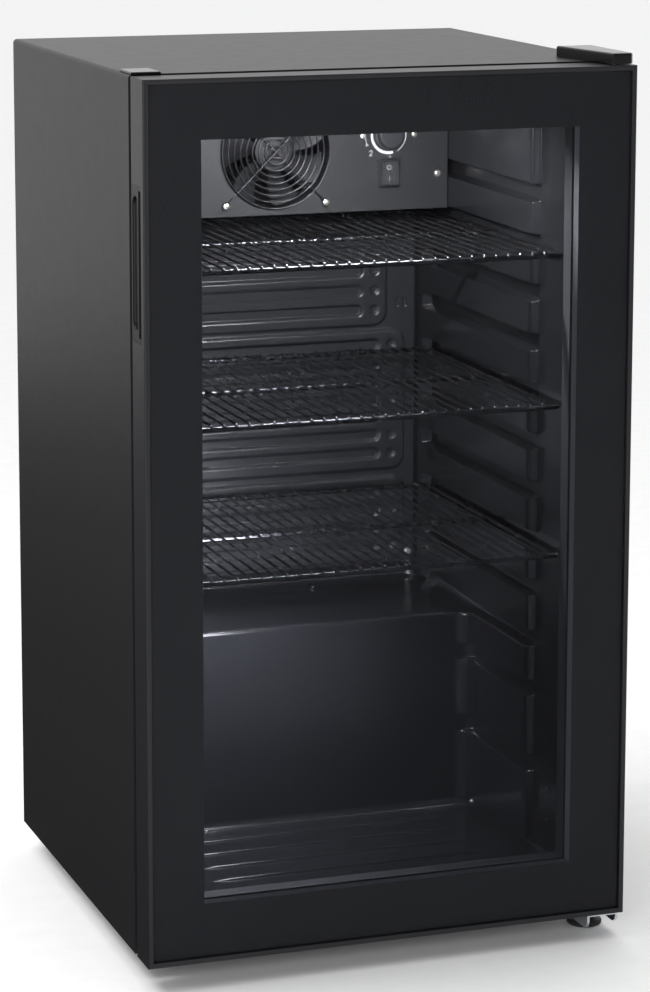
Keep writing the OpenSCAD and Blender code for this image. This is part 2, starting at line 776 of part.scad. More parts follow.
module door_rail_bottom() {
    color([0.24, 0.24, 0.27]) intersection() {
        frame_ring();
        rail_wedge(under_z, 1);
    }
}

// Moulded blocks that key the mitred corners together and carry the hinge bushes
module corner_blocks() {
    g = frame_t + seat_gap;
    color([0.12, 0.12, 0.13]) both_sides() for (z = [[under_z + g, under_z + g + block_l],
            [door_top - g - block_l, door_top - g]]) difference() {
        box([half_w - g - block_l, half_w - g],
            [print_back + g, door_back - g], z);
        rod_z(hinge_x, hinge_y, [z[0] - eps, z[1] + eps], bush_r + run_gap);
    }
}

module hinge_bushes() {
    color([0.85, 0.85, 0.82]) for (z = [[under_z + 0.3, under_z + 16], [door_top - 16, door_top - 0.3]])
        difference() {
            rod_z(hinge_x, hinge_y, z, bush_r);
            rod_z(hinge_x, hinge_y, [z[0] - eps, z[1] + eps], pin_r + run_gap);
        }
}

module outer_glass() {
    g = lip_w + 0.4;
    color([0.12, 0.13, 0.14, 0.35]) box([-half_w + g, half_w - g], [glass_front, glass_back],
        [under_z + g, door_top - g]);
}

module glass_border() {
    color([0.03, 0.03, 0.03]) ring(lip_w + 0.4, border_w, [glass_back, print_back]);
}

module glass_spacer() {
    color([0.1, 0.1, 0.1]) ring(border_w - 8, border_w - 0.3, [print_back, pane2_front]);
}

module inner_glass() {
    g = chamber_w + 1.5;
    color([0.12, 0.13, 0.14, 0.35]) box([-half_w + g, half_w - g], [pane2_front, pane2_back],
        [under_z + g, door_top - g]);
}

module door_inner_frame() {
    color([0.18, 0.18, 0.19]) ring(chamber_w + seat_gap, border_w, [pane2_back + seat_gap, door_back]);
}

module door_gasket() {
    m = gasket_margin;
    w = gasket_w;
    color([0.1, 0.1, 0.1]) difference() {
        ring(m, m + w, [door_back, door_back + gasket_t]);
        ring(m + 1.5, m + w - 1.5, [door_back + 1.2, door_back + gasket_t - 1.2]);
    }
}

// A moulded cup let into the frame's side: fingers reach in from the side
module handle_insert() {
    g = seat_gap;
    y0 = print_back + frame_t + g;
    y1 = door_back - frame_t - g;
    z0 = slot_z - insert_l / 2 + g;
    z1 = slot_z + insert_l / 2 - g;
    r = slot_w / 2;
    slot = rounded(slot_y - r, slot_y + r, slot_z - slot_l / 2, slot_z + slot_l / 2, r - 0.1, 6);
    cup = rounded(slot_y - r - 1.8, slot_y + r + 1.8, slot_z - slot_l / 2 - 1.8,
        slot_z + slot_l / 2 + 1.8, r + 1.6, 6);
    color([0.2, 0.2, 0.21]) difference() {
        union() {
            box([-half_w + 0.1, -half_w + frame_t + 0.4], [y0, y1], [z0, z1]);
            slab_yz(cup, [-half_w + 0.5, -half_w + slot_deep + 2]);
        }
        slab_yz(slot, [-half_w - eps, -half_w + slot_deep]);
    }
}

// ---- hinges ----

module top_hinge_plate() {
    z0 = top_z + 0.05;
    z1 = z0 + hinge_t;
    color([0.68, 0.69, 0.7]) difference() {
        union() {
            slab_xy(cover_outline(2.6), [z0, z1]);
            rod_z(hinge_x, hinge_y, [door_top - 13, z1 + 1.5], pin_r);
        }
        hinge_screw_cuts(2.3);
    }
}

module hinge_backing_plate() {
    color([0.6, 0.6, 0.62]) difference() {
        box([hinge_x - 16, skin_x - edge_r], [cab_front + 8, cab_front + 50],
            [top_z - sheet_t - 3.2, top_z - sheet_t - 0.2]);
        hinge_screw_cuts(2.1);
    }
}

module hinge_screws() {
    top = top_z + 0.05 + hinge_t;
    bottom = under_z - 0.1 - hinge_t;
    color([0.8, 0.8, 0.82]) {
        for (p = top_screw_at()) {
            rod_z(p[0], p[1], [top, top + 2.2], 4.2);
            rod_z(p[0], p[1], [top - 11, top + 0.5], 2);
        }
        for (p = bottom_screw_at()) {
            rod_z(p[0], p[1], [bottom - 2.2, bottom], 4.2);
            rod_z(p[0], p[1], [bottom - 0.5, bottom + 12], 2);
        }
    }
}

// Outline of the hinge cover, inset by g: straight outside, slanted inside
function cover_outline(g) = [[half_w - 2 - g, door_front + 4 + g], [half_w - 2 - g, cab_front + 56 - g],
    [half_w - 38 + g * 1.1, cab_front + 56 - g], [half_w - 23 + g * 1.1, door_front + 4 + g]];

module top_hinge_cover() {
    color([0.06, 0.06, 0.07]) difference() {
        slab_xy(cover_outline(0), [top_z + 0.1, top_z + cover_h]);
        slab_xy(cover_outline(2), [top_z - eps, top_z + cover_h - 2]);
    }
}

module hinge_hole_cap() {
    x = [-half_w + 2, -half_w + 38];
    color([0.1, 0.1, 0.11]) union() {
        box(x, [cab_front + 0.5, cab_front + 41], [top_z + 0.1, top_z + 3]);
        box(x, [cab_front - 1.7, cab_front - 0.2], [top_z - 8, top_z + 3]);
        box(x, [cab_front - 1.7, cab_front + 1], [top_z + 0.1, top_z + 3]);
    }
}

module bottom_hinge_bracket() {
    z1 = plate_z;
    z0 = plate_z - hinge_t;
    x0 = hinge_x - 17;
    x1 = half_w - 0.2;
    y0 = door_front + 12;
    joggle = foot_right[1] + 19;
    rear = cab_front + 66;
    color([0.74, 0.76, 0.8]) difference() {
        union() {
            slab_xy(rounded(x0, x1, y0, joggle, 4, 4), [z0, z1]);
            box([x0, x1], [joggle - hinge_t, joggle], [z0, under_z - 0.1]);
            box([x0, x1], [joggle - hinge_t, rear], [under_z - 0.1 - hinge_t, under_z - 0.1]);
            box([x0, x0 + hinge_t], [y0 + 4, joggle], [z1 - 15, z1 - 1]);
            box([x1 - hinge_t, x1], [y0 + 4, joggle], [z1 - 11.5, z1 - 1]);
            rod_z(hinge_x, hinge_y, [z0 - 1.5, under_z + 13], pin_r);
            rod_z(hinge_x, hinge_y, [z1 - 0.2, under_z - 0.4], pin_r + 4.5);
            rod_z(foot_right[0], foot_right[1], [z0 - 5, z1 - 0.5], stem_r + 3);
        }
        rod_z(foot_right[0], foot_right[1], [z0 - 6, z1 + eps], stem_r + run_gap);
        bottom_screw_cuts(2.3);
    }
}

// ---- feet ----

// The left foot screws into this nut, the right one into its hinge bracket
module foot_nut() {
    color([0.6, 0.6, 0.62]) difference() {
        rod_z(foot_left[0], foot_left[1], [under_z + 1.6, under_z + 20], stem_r + 3);
        rod_z(foot_left[0], foot_left[1], [under_z, under_z + 21], stem_r + run_gap);
    }
}

module levelling_foot(at, stem_top) {
    color([0.08, 0.08, 0.08]) union() {
        translate([at[0], at[1], 0]) rotate_extrude() polygon([[0, 0], [foot_d / 2 - 1.5, 0],
            [foot_d / 2, 1.5], [foot_d / 2, 3.5], [foot_d / 2 - 2, 5.2], [stem_r + 4, 5.2],
            [stem_r + 4, 9], [0, 9]]);
        rod_z(at[0], at[1], [8, stem_top], stem_r);
    }
}

module front_foot_left() levelling_foot(foot_left, under_z + 18);

module front_foot_right() levelling_foot(foot_right, under_z - 0.5);

module rear_feet() {
    color([0.08, 0.08, 0.08]) both_sides() translate([rear_foot[0], rear_foot[1], 0]) rotate_extrude()
        polygon([[0, 0], [14, 0], [15.5, 1.5], [15.5, 6], [13, under_z - 0.1], [0, under_z - 0.1]]);
}

// ---- compressor bay ----

module compressor_plate() {
    color([0.5, 0.51, 0.52]) union() {
        box([-skin_x + seat_gap, skin_x - seat_gap], [bay_front + 25, cab_back - 4],
            [under_z, under_z + 2]);
        box([-skin_x + seat_gap, skin_x - seat_gap], [bay_front + 25, bay_front + 27],
            [under_z, under_z + 10]);
    }
}

function grommet_at() = [for (x = [-1, 1]) for (y = [-1, 1]) [can_x + x * 62, can_y + 10 + y * 36]];

module compressor_grommets() {
    color([0.08, 0.08, 0.08]) for (p = grommet_at())
        rod_z(p[0], p[1], [under_z + 2, can_z - 0.1], 9);
}

// A welded steel can, hollow so that its weight is that of the filled one
module compressor() {
    r = can_d / 2;
    color([0.05, 0.05, 0.05]) difference() {
        union() {
            translate([can_x, can_y + 10, can_z + 2]) rotate_extrude()
                polygon(concat([[0, 0], [r - 18, 0]], arc(r - 14, 14, 14, -60, 0, 4),
                    arc(r - 42, can_h - 42, 42, 0, 78, 6), [[0, can_h]]));
            box([can_x - 72, can_x + 72], [can_y - 36, can_y + 56], [can_z, can_z + 3]);
        }
        translate([can_x, can_y + 10, can_z + 2]) rotate_extrude()
            polygon([[0, 9], [r - 20, 9], [r - 9, 20], [r - 9, can_h - 45], [r - 40, can_h - 12], [0, can_h - 12]]);
    }
}

module terminal_box() {
    x = can_x + can_d / 2 + 0.3;
    color([0.09, 0.09, 0.1]) box([x, x + 34], [can_y - 14, can_y + 34], [can_z + 36, can_z + 88]);
}

module drip_tray() {
    z = can_z + can_h + 2.4;
    x = [can_x - 60, drain_x + 20];
    y = [can_y - 30, cab_back - 12];
    color([0.13, 0.13, 0.14]) difference() {
        box(x, y, [z, z + 20]);
        box([x[0] + 2, x[1] - 2], [y[0] + 2, y[1] - 2], [z + 2, z + 21]);
    }
}

module drain_tube() {
    z0 = can_z + can_h + 12;
    color([0.8, 0.8, 0.8]) difference() {
        rod_z(drain_x, drain_y, [z0, step_z - liner_t - 0.2], 6);
        rod_z(drain_x, drain_y, [z0 - eps, step_z], 4.5);
    }
}

function pipe_x() = [half_w * 0.42, half_w * 0.53];

// Suction and discharge tubes up through the bay's roof, and the filter drier
module cooling_pipes() {
    y = bay_front + 24;
    color([0.72, 0.45, 0.2]) union() {
        for (i = [0, 1]) {
            rod_z(pipe_x()[i], y, [under_z + 60 + i * 30, bay_z + 24], 3.5);
            rod_x(y, under_z + 60 + i * 30, [can_x + can_d / 2 - 22, pipe_x()[i]], 3.2);
            translate([pipe_x()[i], y, under_z + 60 + i * 30]) sphere(r = 4.2);
        }
        rod_z(pipe_x()[1], y, [under_z + 118, under_z + 168], 9);
    }
}

module cord_gland() {
    x = half_w * 0.72;
    y = cab_back - 16;
    z = under_z + 40;
    color([0.1, 0.1, 0.1]) difference() {
        union() {
            box([x - 18, x + 18], [y, y + 2], [under_z + 2.1, under_z + 60]);
            rod_y(x, z, [y - 6, y + 12], 7);
            rod_y(x, z, [y + 1, y + 4], 10);
        }
        rod_y(x, z, [y - 8, y + 14], 4);
    }
}

outer_shell();
back_panel();
front_rail();
base_pan();
foam_insulation();
inner_liner();
condenser_coil();
evaporator_plate();
evaporator_standoffs();
evaporator_screws();
duct_cover();
cover_strips();
cover_screws();
fan_frame();
fan_blades();
fan_guard();
fan_screws();
thermostat_body();
thermostat_screws();
thermostat_knob();
switch_body();
switch_rocker();
switch_boot();
light_housing();
light_diffuser();
shelf_top();
shelf_middle();
shelf_bottom();
door_stile_left();
door_stile_right();
door_rail_top();
door_rail_bottom();
corner_blocks();
outer_glass();
glass_border();
glass_spacer();
inner_glass();
door_inner_frame();
door_gasket();
handle_insert();
hinge_bushes();
top_hinge_plate();
hinge_backing_plate();
hinge_screws();
top_hinge_cover();
hinge_hole_cap();
bottom_hinge_bracket();
panel_screws();
foot_nut();
front_foot_left();
front_foot_right();
rear_feet();
compressor_plate();
compressor_grommets();
compressor();
terminal_box();
drip_tray();
drain_tube();
cooling_pipes();
cord_gland();
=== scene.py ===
import json
import math

import bmesh
import bpy
from mathutils import Matrix, Vector

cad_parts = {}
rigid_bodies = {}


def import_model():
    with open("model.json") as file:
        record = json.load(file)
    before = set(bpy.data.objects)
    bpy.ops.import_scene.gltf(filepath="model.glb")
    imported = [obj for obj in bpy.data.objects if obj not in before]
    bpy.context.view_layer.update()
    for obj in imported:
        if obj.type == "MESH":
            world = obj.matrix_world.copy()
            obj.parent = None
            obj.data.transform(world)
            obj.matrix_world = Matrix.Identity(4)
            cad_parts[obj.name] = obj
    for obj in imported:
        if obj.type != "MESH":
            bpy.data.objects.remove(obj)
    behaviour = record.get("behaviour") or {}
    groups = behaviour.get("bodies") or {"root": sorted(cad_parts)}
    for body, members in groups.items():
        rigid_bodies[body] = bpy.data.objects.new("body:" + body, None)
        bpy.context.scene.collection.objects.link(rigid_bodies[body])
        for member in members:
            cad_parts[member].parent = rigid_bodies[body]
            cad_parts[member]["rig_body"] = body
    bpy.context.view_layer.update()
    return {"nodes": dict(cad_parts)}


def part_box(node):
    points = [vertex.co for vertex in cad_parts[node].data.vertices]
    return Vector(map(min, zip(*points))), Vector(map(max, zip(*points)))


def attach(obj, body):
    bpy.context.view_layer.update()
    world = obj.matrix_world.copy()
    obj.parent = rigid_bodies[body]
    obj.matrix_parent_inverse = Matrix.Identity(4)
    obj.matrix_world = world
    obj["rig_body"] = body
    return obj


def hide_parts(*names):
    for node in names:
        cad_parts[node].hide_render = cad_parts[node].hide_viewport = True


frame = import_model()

# ---- Studio ----
# A seamless pale floor, one broad soft lamp over the left shoulder, a low fill that reaches
# into the cabinet, and a portrait lens that stands a little left of the door and looks down.


def colour(hex_code):
    """An sRGB hex code as the linear colour that a shader takes."""
    parts = [int(hex_code[i:i + 2], 16) / 255 for i in (1, 3, 5)]
    linear = [c / 12.92 if c <= 0.04045 else ((c + 0.055) / 1.055) ** 2.4 for c in parts]
    return (*linear, 1.0)


def add(tree, kind, settings=None, links=None):
    """Adds one node, with its settings, and joins its inputs to other nodes' sockets."""
    node = tree.nodes.new(kind)
    for name, value in (settings or {}).items():
        if isinstance(name, int) or name in node.inputs:
            node.inputs[name].default_value = value
        else:
            setattr(node, name, value)
    for name, socket in (links or {}).items():
        tree.links.new(socket, node.inputs[name])
    return node


def put(name, data):
    """A new object in the scene."""
    thing = bpy.data.objects.new(name, data)
    bpy.context.scene.collection.objects.link(thing)
    return thing


def look_along(yaw_deg, pitch_deg, roll_deg):
    """The turn of a camera that faces +Y, then swings right by yaw, down by pitch and rolls."""
    yaw, pitch, roll = (math.radians(a) for a in (yaw_deg, pitch_deg, roll_deg))
    level = Vector((math.sin(yaw), math.cos(yaw), 0))
    side = Vector((math.cos(yaw), -math.sin(yaw), 0))
    ahead = level * math.cos(pitch) - Vector((0, 0, math.sin(pitch)))
    above = level * math.sin(pitch) + Vector((0, 0, math.cos(pitch)))
    right = side * math.cos(roll) + above * math.sin(roll)
    up = above * math.cos(roll) - side * math.sin(roll)
    return Matrix((right, up, -ahead)).transposed()


# The long lens is shifted down, which keeps the cabinet's uprights nearly parallel.
camera = put("camera", bpy.data.cameras.new("camera"))
camera.data.lens = 120.1
camera.data.shift_y = -0.17
camera.data.clip_end = 200
camera.matrix_world = look_along(19.40, 9.52, 0.10).to_4x4()
camera.location = (-1.044, -3.0035, 1.104)
bpy.context.scene.camera = camera
bpy.context.scene.view_settings.view_transform = "Standard"

# A white cove behind the cabinet that falls to mid grey before the door, where the panes mirror it.
world = bpy.data.worlds.new("studio")
world.use_nodes = True
bpy.context.scene.world = world
sky = world.node_tree
sky.nodes.clear()
where = add(sky, "ShaderNodeTexCoord")
part = add(sky, "ShaderNodeSeparateXYZ", links={"Vector": where.outputs["Generated"]})
depth = add(sky, "ShaderNodeMapRange",
            {"From Min": -0.5, "From Max": 0.7, "interpolation_type": "SMOOTHSTEP"},
            {"Value": part.outputs["Y"]})
wall = add(sky, "ShaderNodeMix", {"data_type": "RGBA", 6: colour("#77787c"), 7: colour("#ffffff")},
           {0: depth.outputs["Result"]})
glow = add(sky, "ShaderNodeBackground", {"Strength": 1.06}, {"Color": wall.outputs[2]})
add(sky, "ShaderNodeOutputWorld", links={"Surface": glow.outputs["Background"]})


def soft_lamp(name, at, towards, size, power, tint="#ffffff"):
    """A square soft box that hangs at one point and faces another."""
    lamp = put(name, bpy.data.lights.new(name, "AREA"))
    lamp.data.size = size
    lamp.data.energy = power
    lamp.data.color = colour(tint)[:3]
    lamp.location = at
    lamp.rotation_mode = "QUATERNION"
    lamp.rotation_quaternion = (Vector(towards) - Vector(at)).to_track_quat("-Z", "Y")
    return lamp


soft_lamp("key_soft_box", (-1.25, 0.1, 1.75), (-0.2, 0.1, 0.75), 0.7, 16)
soft_lamp("front_fill", (-0.9, -2.2, 0.8), (0.1, 0.0, 0.25), 1.0, 27)
overhead = put("overhead", bpy.data.lights.new("overhead", "SUN"))
overhead.data.energy = 1.3
overhead.data.angle = math.radians(70)

# Seamless paper: flat white with a faint fibre and hardly any sheen.
floor_paper = bpy.data.materials.new("matte_white_floor_paper")
floor_paper.use_nodes = True
paper = floor_paper.node_tree
sheet = paper.nodes["Principled BSDF"]
sheet.inputs["Roughness"].default_value = 0.9
sheet.inputs["Specular IOR Level"].default_value = 0.1
place = add(paper, "ShaderNodeTexCoord")
fibre = add(paper, "ShaderNodeTexNoise", {"Scale": 40.0, "Detail": 4.0}, {"Vector": place.outputs["Object"]})
shade = add(paper, "ShaderNodeMix", {"data_type": "RGBA", 6: colour("#f0f0ef"), 7: colour("#f8f8f7")},
            {0: fibre.outputs["Fac"]})
paper.links.new(shade.outputs[2], sheet.inputs["Base Color"])


def circle(count):
    """The corners of a ring of radius 1, as pairs."""
    return [(math.cos(math.tau * i / count), math.sin(math.tau * i / count)) for i in range(count)]


floor_mesh = bpy.data.meshes.new("floor")
floor_mesh.from_pydata([(60 * u, 60 * v, -0.0005) for u, v in circle(48)], [], [tuple(range(48))])
floor_mesh.materials.append(floor_paper)
floor = put("floor", floor_mesh)

# A dark cloth beside the cabinet, which only reflections meet: it deepens the side towards its foot.
black_felt = floor_paper.copy()
black_felt.name = "dark_studio_cloth"
dark = black_felt.node_tree.nodes["Principled BSDF"]
black_felt.node_tree.links.remove(dark.inputs["Base Color"].links[0])
dark.inputs["Base Color"].default_value = colour("#222121")
cloth_mesh = bpy.data.meshes.new("dark_cloth")
cloth_corners = [(-3.5, -0.6, 0), (-0.24, -0.6, 0), (-0.24, 3.0, 0), (-3.5, 3.0, 0)]
cloth_mesh.from_pydata(cloth_corners, [], [(0, 1, 2, 3)])
cloth_mesh.materials.append(black_felt)
cloth = put("dark_cloth", cloth_mesh)
cloth.location.z = 0.004
cloth.visible_camera = False
cloth.visible_diffuse = False
cloth.visible_shadow = False

# ---- Cabinet wrap and front rail ----
# One sheet of steel, folded over both sides and the top, with flanges turned in round the
# opening. Powder coated black: a satin skin with a fine orange peel and soft broad sheen.


def coat(name, base, roughness, grain_mm, relief_mm, gloss=0.5, metallic=0.0, mottle=0.10):
    """A finish with slow patches in its colour, uneven gloss and a fine relief of one grain size."""
    material = bpy.data.materials.new(name)
    material.use_nodes = True
    tree = material.node_tree
    shader = tree.nodes["Principled BSDF"]
    shader.inputs["Metallic"].default_value = metallic
    shader.inputs["Specular IOR Level"].default_value = gloss
    place = add(tree, "ShaderNodeTexCoord")
    spot = place.outputs["Object"]
    light, dark = ([c * (1 + side * mottle) for c in colour(base)[:3]] + [1] for side in (1, -1))
    patch = add(tree, "ShaderNodeTexNoise", {"Scale": 14.0, "Detail": 3.0}, {"Vector": spot})
    tone = add(tree, "ShaderNodeMix", {"data_type": "RGBA", 6: dark, 7: light}, {0: patch.outputs["Fac"]})
    tree.links.new(tone.outputs[2], shader.inputs["Base Color"])
    rub = add(tree, "ShaderNodeTexNoise", {"Scale": 55.0, "Detail": 4.0}, {"Vector": spot})
    worn = add(tree, "ShaderNodeMapRange", {"To Min": roughness * 0.93, "To Max": roughness * 1.07},
               {"Value": rub.outputs["Fac"]})
    tree.links.new(worn.outputs["Result"], shader.inputs["Roughness"])
    grain = add(tree, "ShaderNodeTexNoise", {"Scale": 1000 / grain_mm, "Detail": 2.0}, {"Vector": spot})
    relief = add(tree, "ShaderNodeBump", {"Strength": 1.0, "Distance": relief_mm / 1000},
                 {"Height": grain.outputs["Fac"]})
    tree.links.new(relief.outputs["Normal"], shader.inputs["Normal"])
    return material


def dress(material, *nodes):
    """Gives CAD pieces their real finish."""
    for node in nodes:
        piece = frame["nodes"][node]
        if not piece.material_slots:
            piece.data.materials.append(material)
        for held in piece.material_slots:
            held.material = material


# Powder coat: peel about 1.6 mm across, drawn a little coarser than real so that it shows.
black_powder_coat = coat("black_powder_coat", "#1f1e20", 0.4, 1.6, 0.002, gloss=0.17, mottle=0.02)
dress(black_powder_coat, "outer_shell", "front_rail")

# ---- Back, base pan and compressor floor ----
# The back is a thinner ribbed sheet in matt black paint. The pan and the compressor's floor
# are bare hot-dip galvanised steel, with the dull spangle of frozen zinc.

# Matt paint: a dry, even grey-black with no peel to be seen.
matt_black_paint = coat("matt_black_paint", "#161617", 0.6, 1.2, 0.01, gloss=0.3)
dress(matt_black_paint, "back_panel")

# Hot-dip zinc: grey metal whose crystals, about 11 mm across, differ only in how dull they are.
galvanised_steel = coat("galvanised_steel", "#8b8e92", 0.42, 2.0, 0.006, metallic=1.0)
zinc = galvanised_steel.node_tree
spangle = add(zinc, "ShaderNodeTexVoronoi", {"Scale": 1000 / 11},
              {"Vector": add(zinc, "ShaderNodeTexCoord").outputs["Object"]})
cell_tone = add(zinc, "ShaderNodeMapRange", {"To Min": 0.30, "To Max": 0.55},
                {"Value": spangle.outputs["Color"]})
zinc.links.new(cell_tone.outputs["Result"], zinc.nodes["Principled BSDF"].inputs["Roughness"])
dress(galvanised_steel, "base_pan", "compressor_plate", "cover_strips", "thermostat_body")

# ---- Foam and the tubes in it ----
# Polyurethane foam poured between liner and wrap: cream, open and dusty where it is cut. The
# hot-gas tube behind each side is drawn copper, dull brown from brazing and handling.

# Cut foam: dusty cream, rough with open cells drawn at 1.4 mm, coarser than real.
rigid_foam = coat("rigid_polyurethane_foam", "#d8c38c", 0.95, 1.4, 0.35, gloss=0.1, mottle=0.08)
dress(rigid_foam, "foam_insulation")
# Drawn copper: warm metal, stained in slow dull patches.
drawn_copper = coat("drawn_copper", "#b06f42", 0.34, 6.0, 0.01, metallic=1.0, mottle=0.22)
dress(drawn_copper, "condenser_coil")

# ---- Liner ----
# One sheet of black polystyrene, vacuum-formed over a tool: soft radii everywhere, pads with
# shelf grooves between them on both sides, a step over the compressor and ribs on the floor.


def skin(rings, around=True, ends=True):
    """Faces between rows of points that match one to one, closed round and at the ends if asked."""
    count = len(rings[0])
    points = [p for ring in rings for p in ring]
    faces = []
    for r in range(len(rings) - 1):
        for i in range(count if around else count - 1):
            j = (i + 1) % count
            faces.append((r * count + i, r * count + j, (r + 1) * count + j, (r + 1) * count + i))
    if ends:
        faces.append(tuple(range(count))[::-1])
        faces.append(tuple(range((len(rings) - 1) * count, len(rings) * count)))
    return points, faces


def drawn(solids, shut=True):
    """Solids drawn in millimetres as one shape in metres, its faces turned outwards where it is shut."""
    shape = bmesh.new()
    for points, faces in solids:
        corners = [shape.verts.new((x / 1000, y / 1000, z / 1000)) for x, y, z in points]
        for face in faces:
            shape.faces.new([corners[i] for i in face])
        bmesh.ops.remove_doubles(shape, verts=corners, dist=0.000004)
    bmesh.ops.dissolve_degenerate(shape, dist=0.000002, edges=shape.edges)
    if shut:
        bmesh.ops.recalc_face_normals(shape, faces=shape.faces)
    return shape


def fit(name, solids, material, node, stands_for=True, rounding=0.0, steps=2, crease=38, shut=True, cuts=()):
    """Joins solids into one piece, cuts and rounds it and fits it where the CAD node is."""
    shape = drawn(solids, shut)
    if cuts:
        rough = bpy.data.meshes.new("rough")
        shape.to_mesh(rough)
        shape.free()
        shape = bmesh.new()
        shape.from_mesh(carve(rough, cuts))
    sharp = math.radians(crease)
    if rounding:
        edges = [e for e in shape.edges if len(e.link_faces) == 2 and e.calc_face_angle() > sharp]
        bmesh.ops.bevel(shape, geom=edges, offset=rounding / 1000, segments=steps, profile=0.5,
                        affect="EDGES", clamp_overlap=True)
    for face in shape.faces:
        face.smooth = True
    for edge in shape.edges:
        edge.smooth = len(edge.link_faces) == 2 and edge.calc_face_angle() < sharp
    mesh = bpy.data.meshes.new(name)
    shape.to_mesh(mesh)
    shape.free()
    mesh.materials.append(material)
    piece = put(name, mesh)
    piece.modifiers.new("even_shading", "WEIGHTED_NORMAL").keep_sharp = True
    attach(piece, frame["nodes"][node]["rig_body"])
    if stands_for:
        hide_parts(node)
    return piece


def ease(value, low, high):
    """0 below low, 1 above high, and a smooth rise between them."""
    t = min(max((value - low) / (high - low), 0), 1)
    return t * t * (3 - 2 * t)


wall_x, pad_out, pad_soft = 190.0, 10.0, 1.8
lip_y, front_y = -186.0, -182.0
liner_back, step_y, step_top = 189.5, 31.5, 265.0
liner_floor, liner_ceiling = 60.0, 798.0
fillet, edge_round, corner = 10.0, 5.0, 15.0
groove_pitch, groove_half = 48.2, 7.5
groove_z = [147.1, 223.0, 272.5] + [324 + groove_pitch * i for i in range(9)]
pad_ends = [level + side * groove_half for level in groove_z for side in (-1, 1)]
pad_ends = [liner_floor + 8] + pad_ends + [liner_ceiling - 12]
pads = list(zip(pad_ends[::2], pad_ends[1::2]))
stations = [front_y, -172, -150, -124, -120.6, -119.8, -118.6, -116.8, -113.5, -110, -60, -20, 10,
            60, 110, 150, 162.5, 164, 165.5, 167, 170]
nose = {-120.6: 0.22, -119.8: 0.5, -118.6: 0.74, -116.8: 0.9}


def pad_at(y, z):
    """How far the wall stands in at a point: pads with round noses, grooves, and the rear column."""
    if y < -121:
        return 0.0
    across = max(ease(z, low - pad_soft, low + pad_soft) * ease(-z, -high - pad_soft, -high + pad_soft)
                 for low, high in pads)
    if step_top + 2 < z < liner_ceiling - 10:
        across = max(across, ease(y, 163.5, 167))
    return pad_out * nose.get(y, 1.0) * across


def liner_row(z, back, inset=0.0, rear_inset=0.0):
    """The liner's outline in plan at one height, from the left lip round the back to the right lip."""
    turn = max(corner - inset, 4.0)
    half = []
    for y in stations:
        y = min(y, back - turn)
        hold = inset + rear_inset * ease(y, step_y - 14, step_y + 6)
        half.append((wall_x - max(pad_at(y, z), hold), y, z))
    side = half[-1][0]
    for k in range(1, 7):
        a = math.radians(15 * k)
        half.append((side - turn * (1 - math.cos(a)), back - turn * (1 - math.sin(a)), z))
    return [(-x, y, z) for x, y, z in half] + half[::-1]


def quarter(n):
    """The angles from 0 to 90 degrees in n equal steps."""
    return [math.radians(90 * k / n) for k in range(n + 1)]


rows = []
for t in quarter(5)[::-1]:
    d = fillet * (1 - math.cos(t))
    rows.append(liner_row(liner_floor + fillet * (1 - math.sin(t)), step_y - d, d))
heights = sorted({round(end + s * pad_soft, 2) for end in pad_ends for s in (-1, -0.5, 0, 0.5, 1)})
for z in [h for h in heights if liner_floor + fillet < h < step_top - edge_round]:
    rows.append(liner_row(z, step_y))
for t in quarter(5):
    d = edge_round * (1 - math.cos(t))
    rows.append(liner_row(step_top - edge_round * (1 - math.sin(t)), step_y + d))
for t in quarter(5)[::-1]:
    d = fillet * (1 - math.cos(t))
    rows.append(liner_row(step_top + fillet * (1 - math.sin(t)), liner_back - d, rear_inset=d))
for z in [h for h in heights if step_top + fillet < h < liner_ceiling - fillet]:
    rows.append(liner_row(z, liner_back))
for t in quarter(5):
    d = fillet * (1 - math.cos(t))
    rows.append(liner_row(liner_ceiling - fillet * (1 - math.sin(t)), liner_back - d, d))
walls = skin(rows, around=False)

lip_round, lip_aside, lip_up, lip_down = 4, 25.8, 20.8, 26
mouth = [row[0] for row in rows] + [row[-1] for row in rows[::-1]]
lip_rings = []
for t in quarter(4) + [None]:
    ring = []
    for x, y, z in mouth:
        cx = min(max(x, -wall_x + fillet), wall_x - fillet)
        cz = min(max(z, liner_floor + fillet), liner_ceiling - fillet)
        nx, nz = (x - cx) / fillet, (z - cz) / fillet
        if t is None:
            s = max(abs(nx), abs(nz))
            ring.append((cx + nx / s * lip_aside, lip_y, cz + nz / s * (lip_up if nz > 0 else lip_down)))
        else:
            out = lip_round * (1 - math.cos(t))
            ring.append((x + nx * out, front_y - lip_round * math.sin(t), z + nz * out))
    lip_rings.append(ring)
lip = skin(lip_rings, ends=False)

rib_half, rib_sink = 141, 0.3
arch = [math.radians(a) for a in range(0, 181, 20)]
ribs = []
for y in (0.5, -36.5, -75.0, -113.5):
    rib_rows = []
    for k in range(17):
        x = -rib_half + 2 * rib_half * k / 16
        high = 2.4 * ease(rib_half - abs(x), 0, 9)
        wide = 0.8 + 1.5 * ease(rib_half - abs(x), 0, 12)
        rib_rows.append([(x, y + wide * math.cos(a), liner_floor - rib_sink + high * math.sin(a))
                         for a in arch])
    ribs.append(skin(rib_rows, around=False, ends=False))


def thicken(piece, millimetres, side):
    """Gives an open surface the thickness of its sheet, before its shading is evened."""
    thick = piece.modifiers.new("sheet_thickness", "SOLIDIFY")
    thick.thickness = millimetres / 1000
    thick.offset = side
    piece.modifiers.move(1, 0)


# Polystyrene: satin black from the tool's fine blast, drawn at 0.9 mm, coarser than real.
formed_polystyrene = coat("vacuum_formed_polystyrene", "#202022", 0.22, 0.9, 0.002, gloss=0.5, mottle=0.03)
liner = fit("liner_shell", [walls, lip], formed_polystyrene, "inner_liner", crease=60, shut=False)
thicken(liner, 1.6, -1.0)
fit("liner_floor_ribs", ribs, formed_polystyrene, "inner_liner", stands_for=False, crease=60)


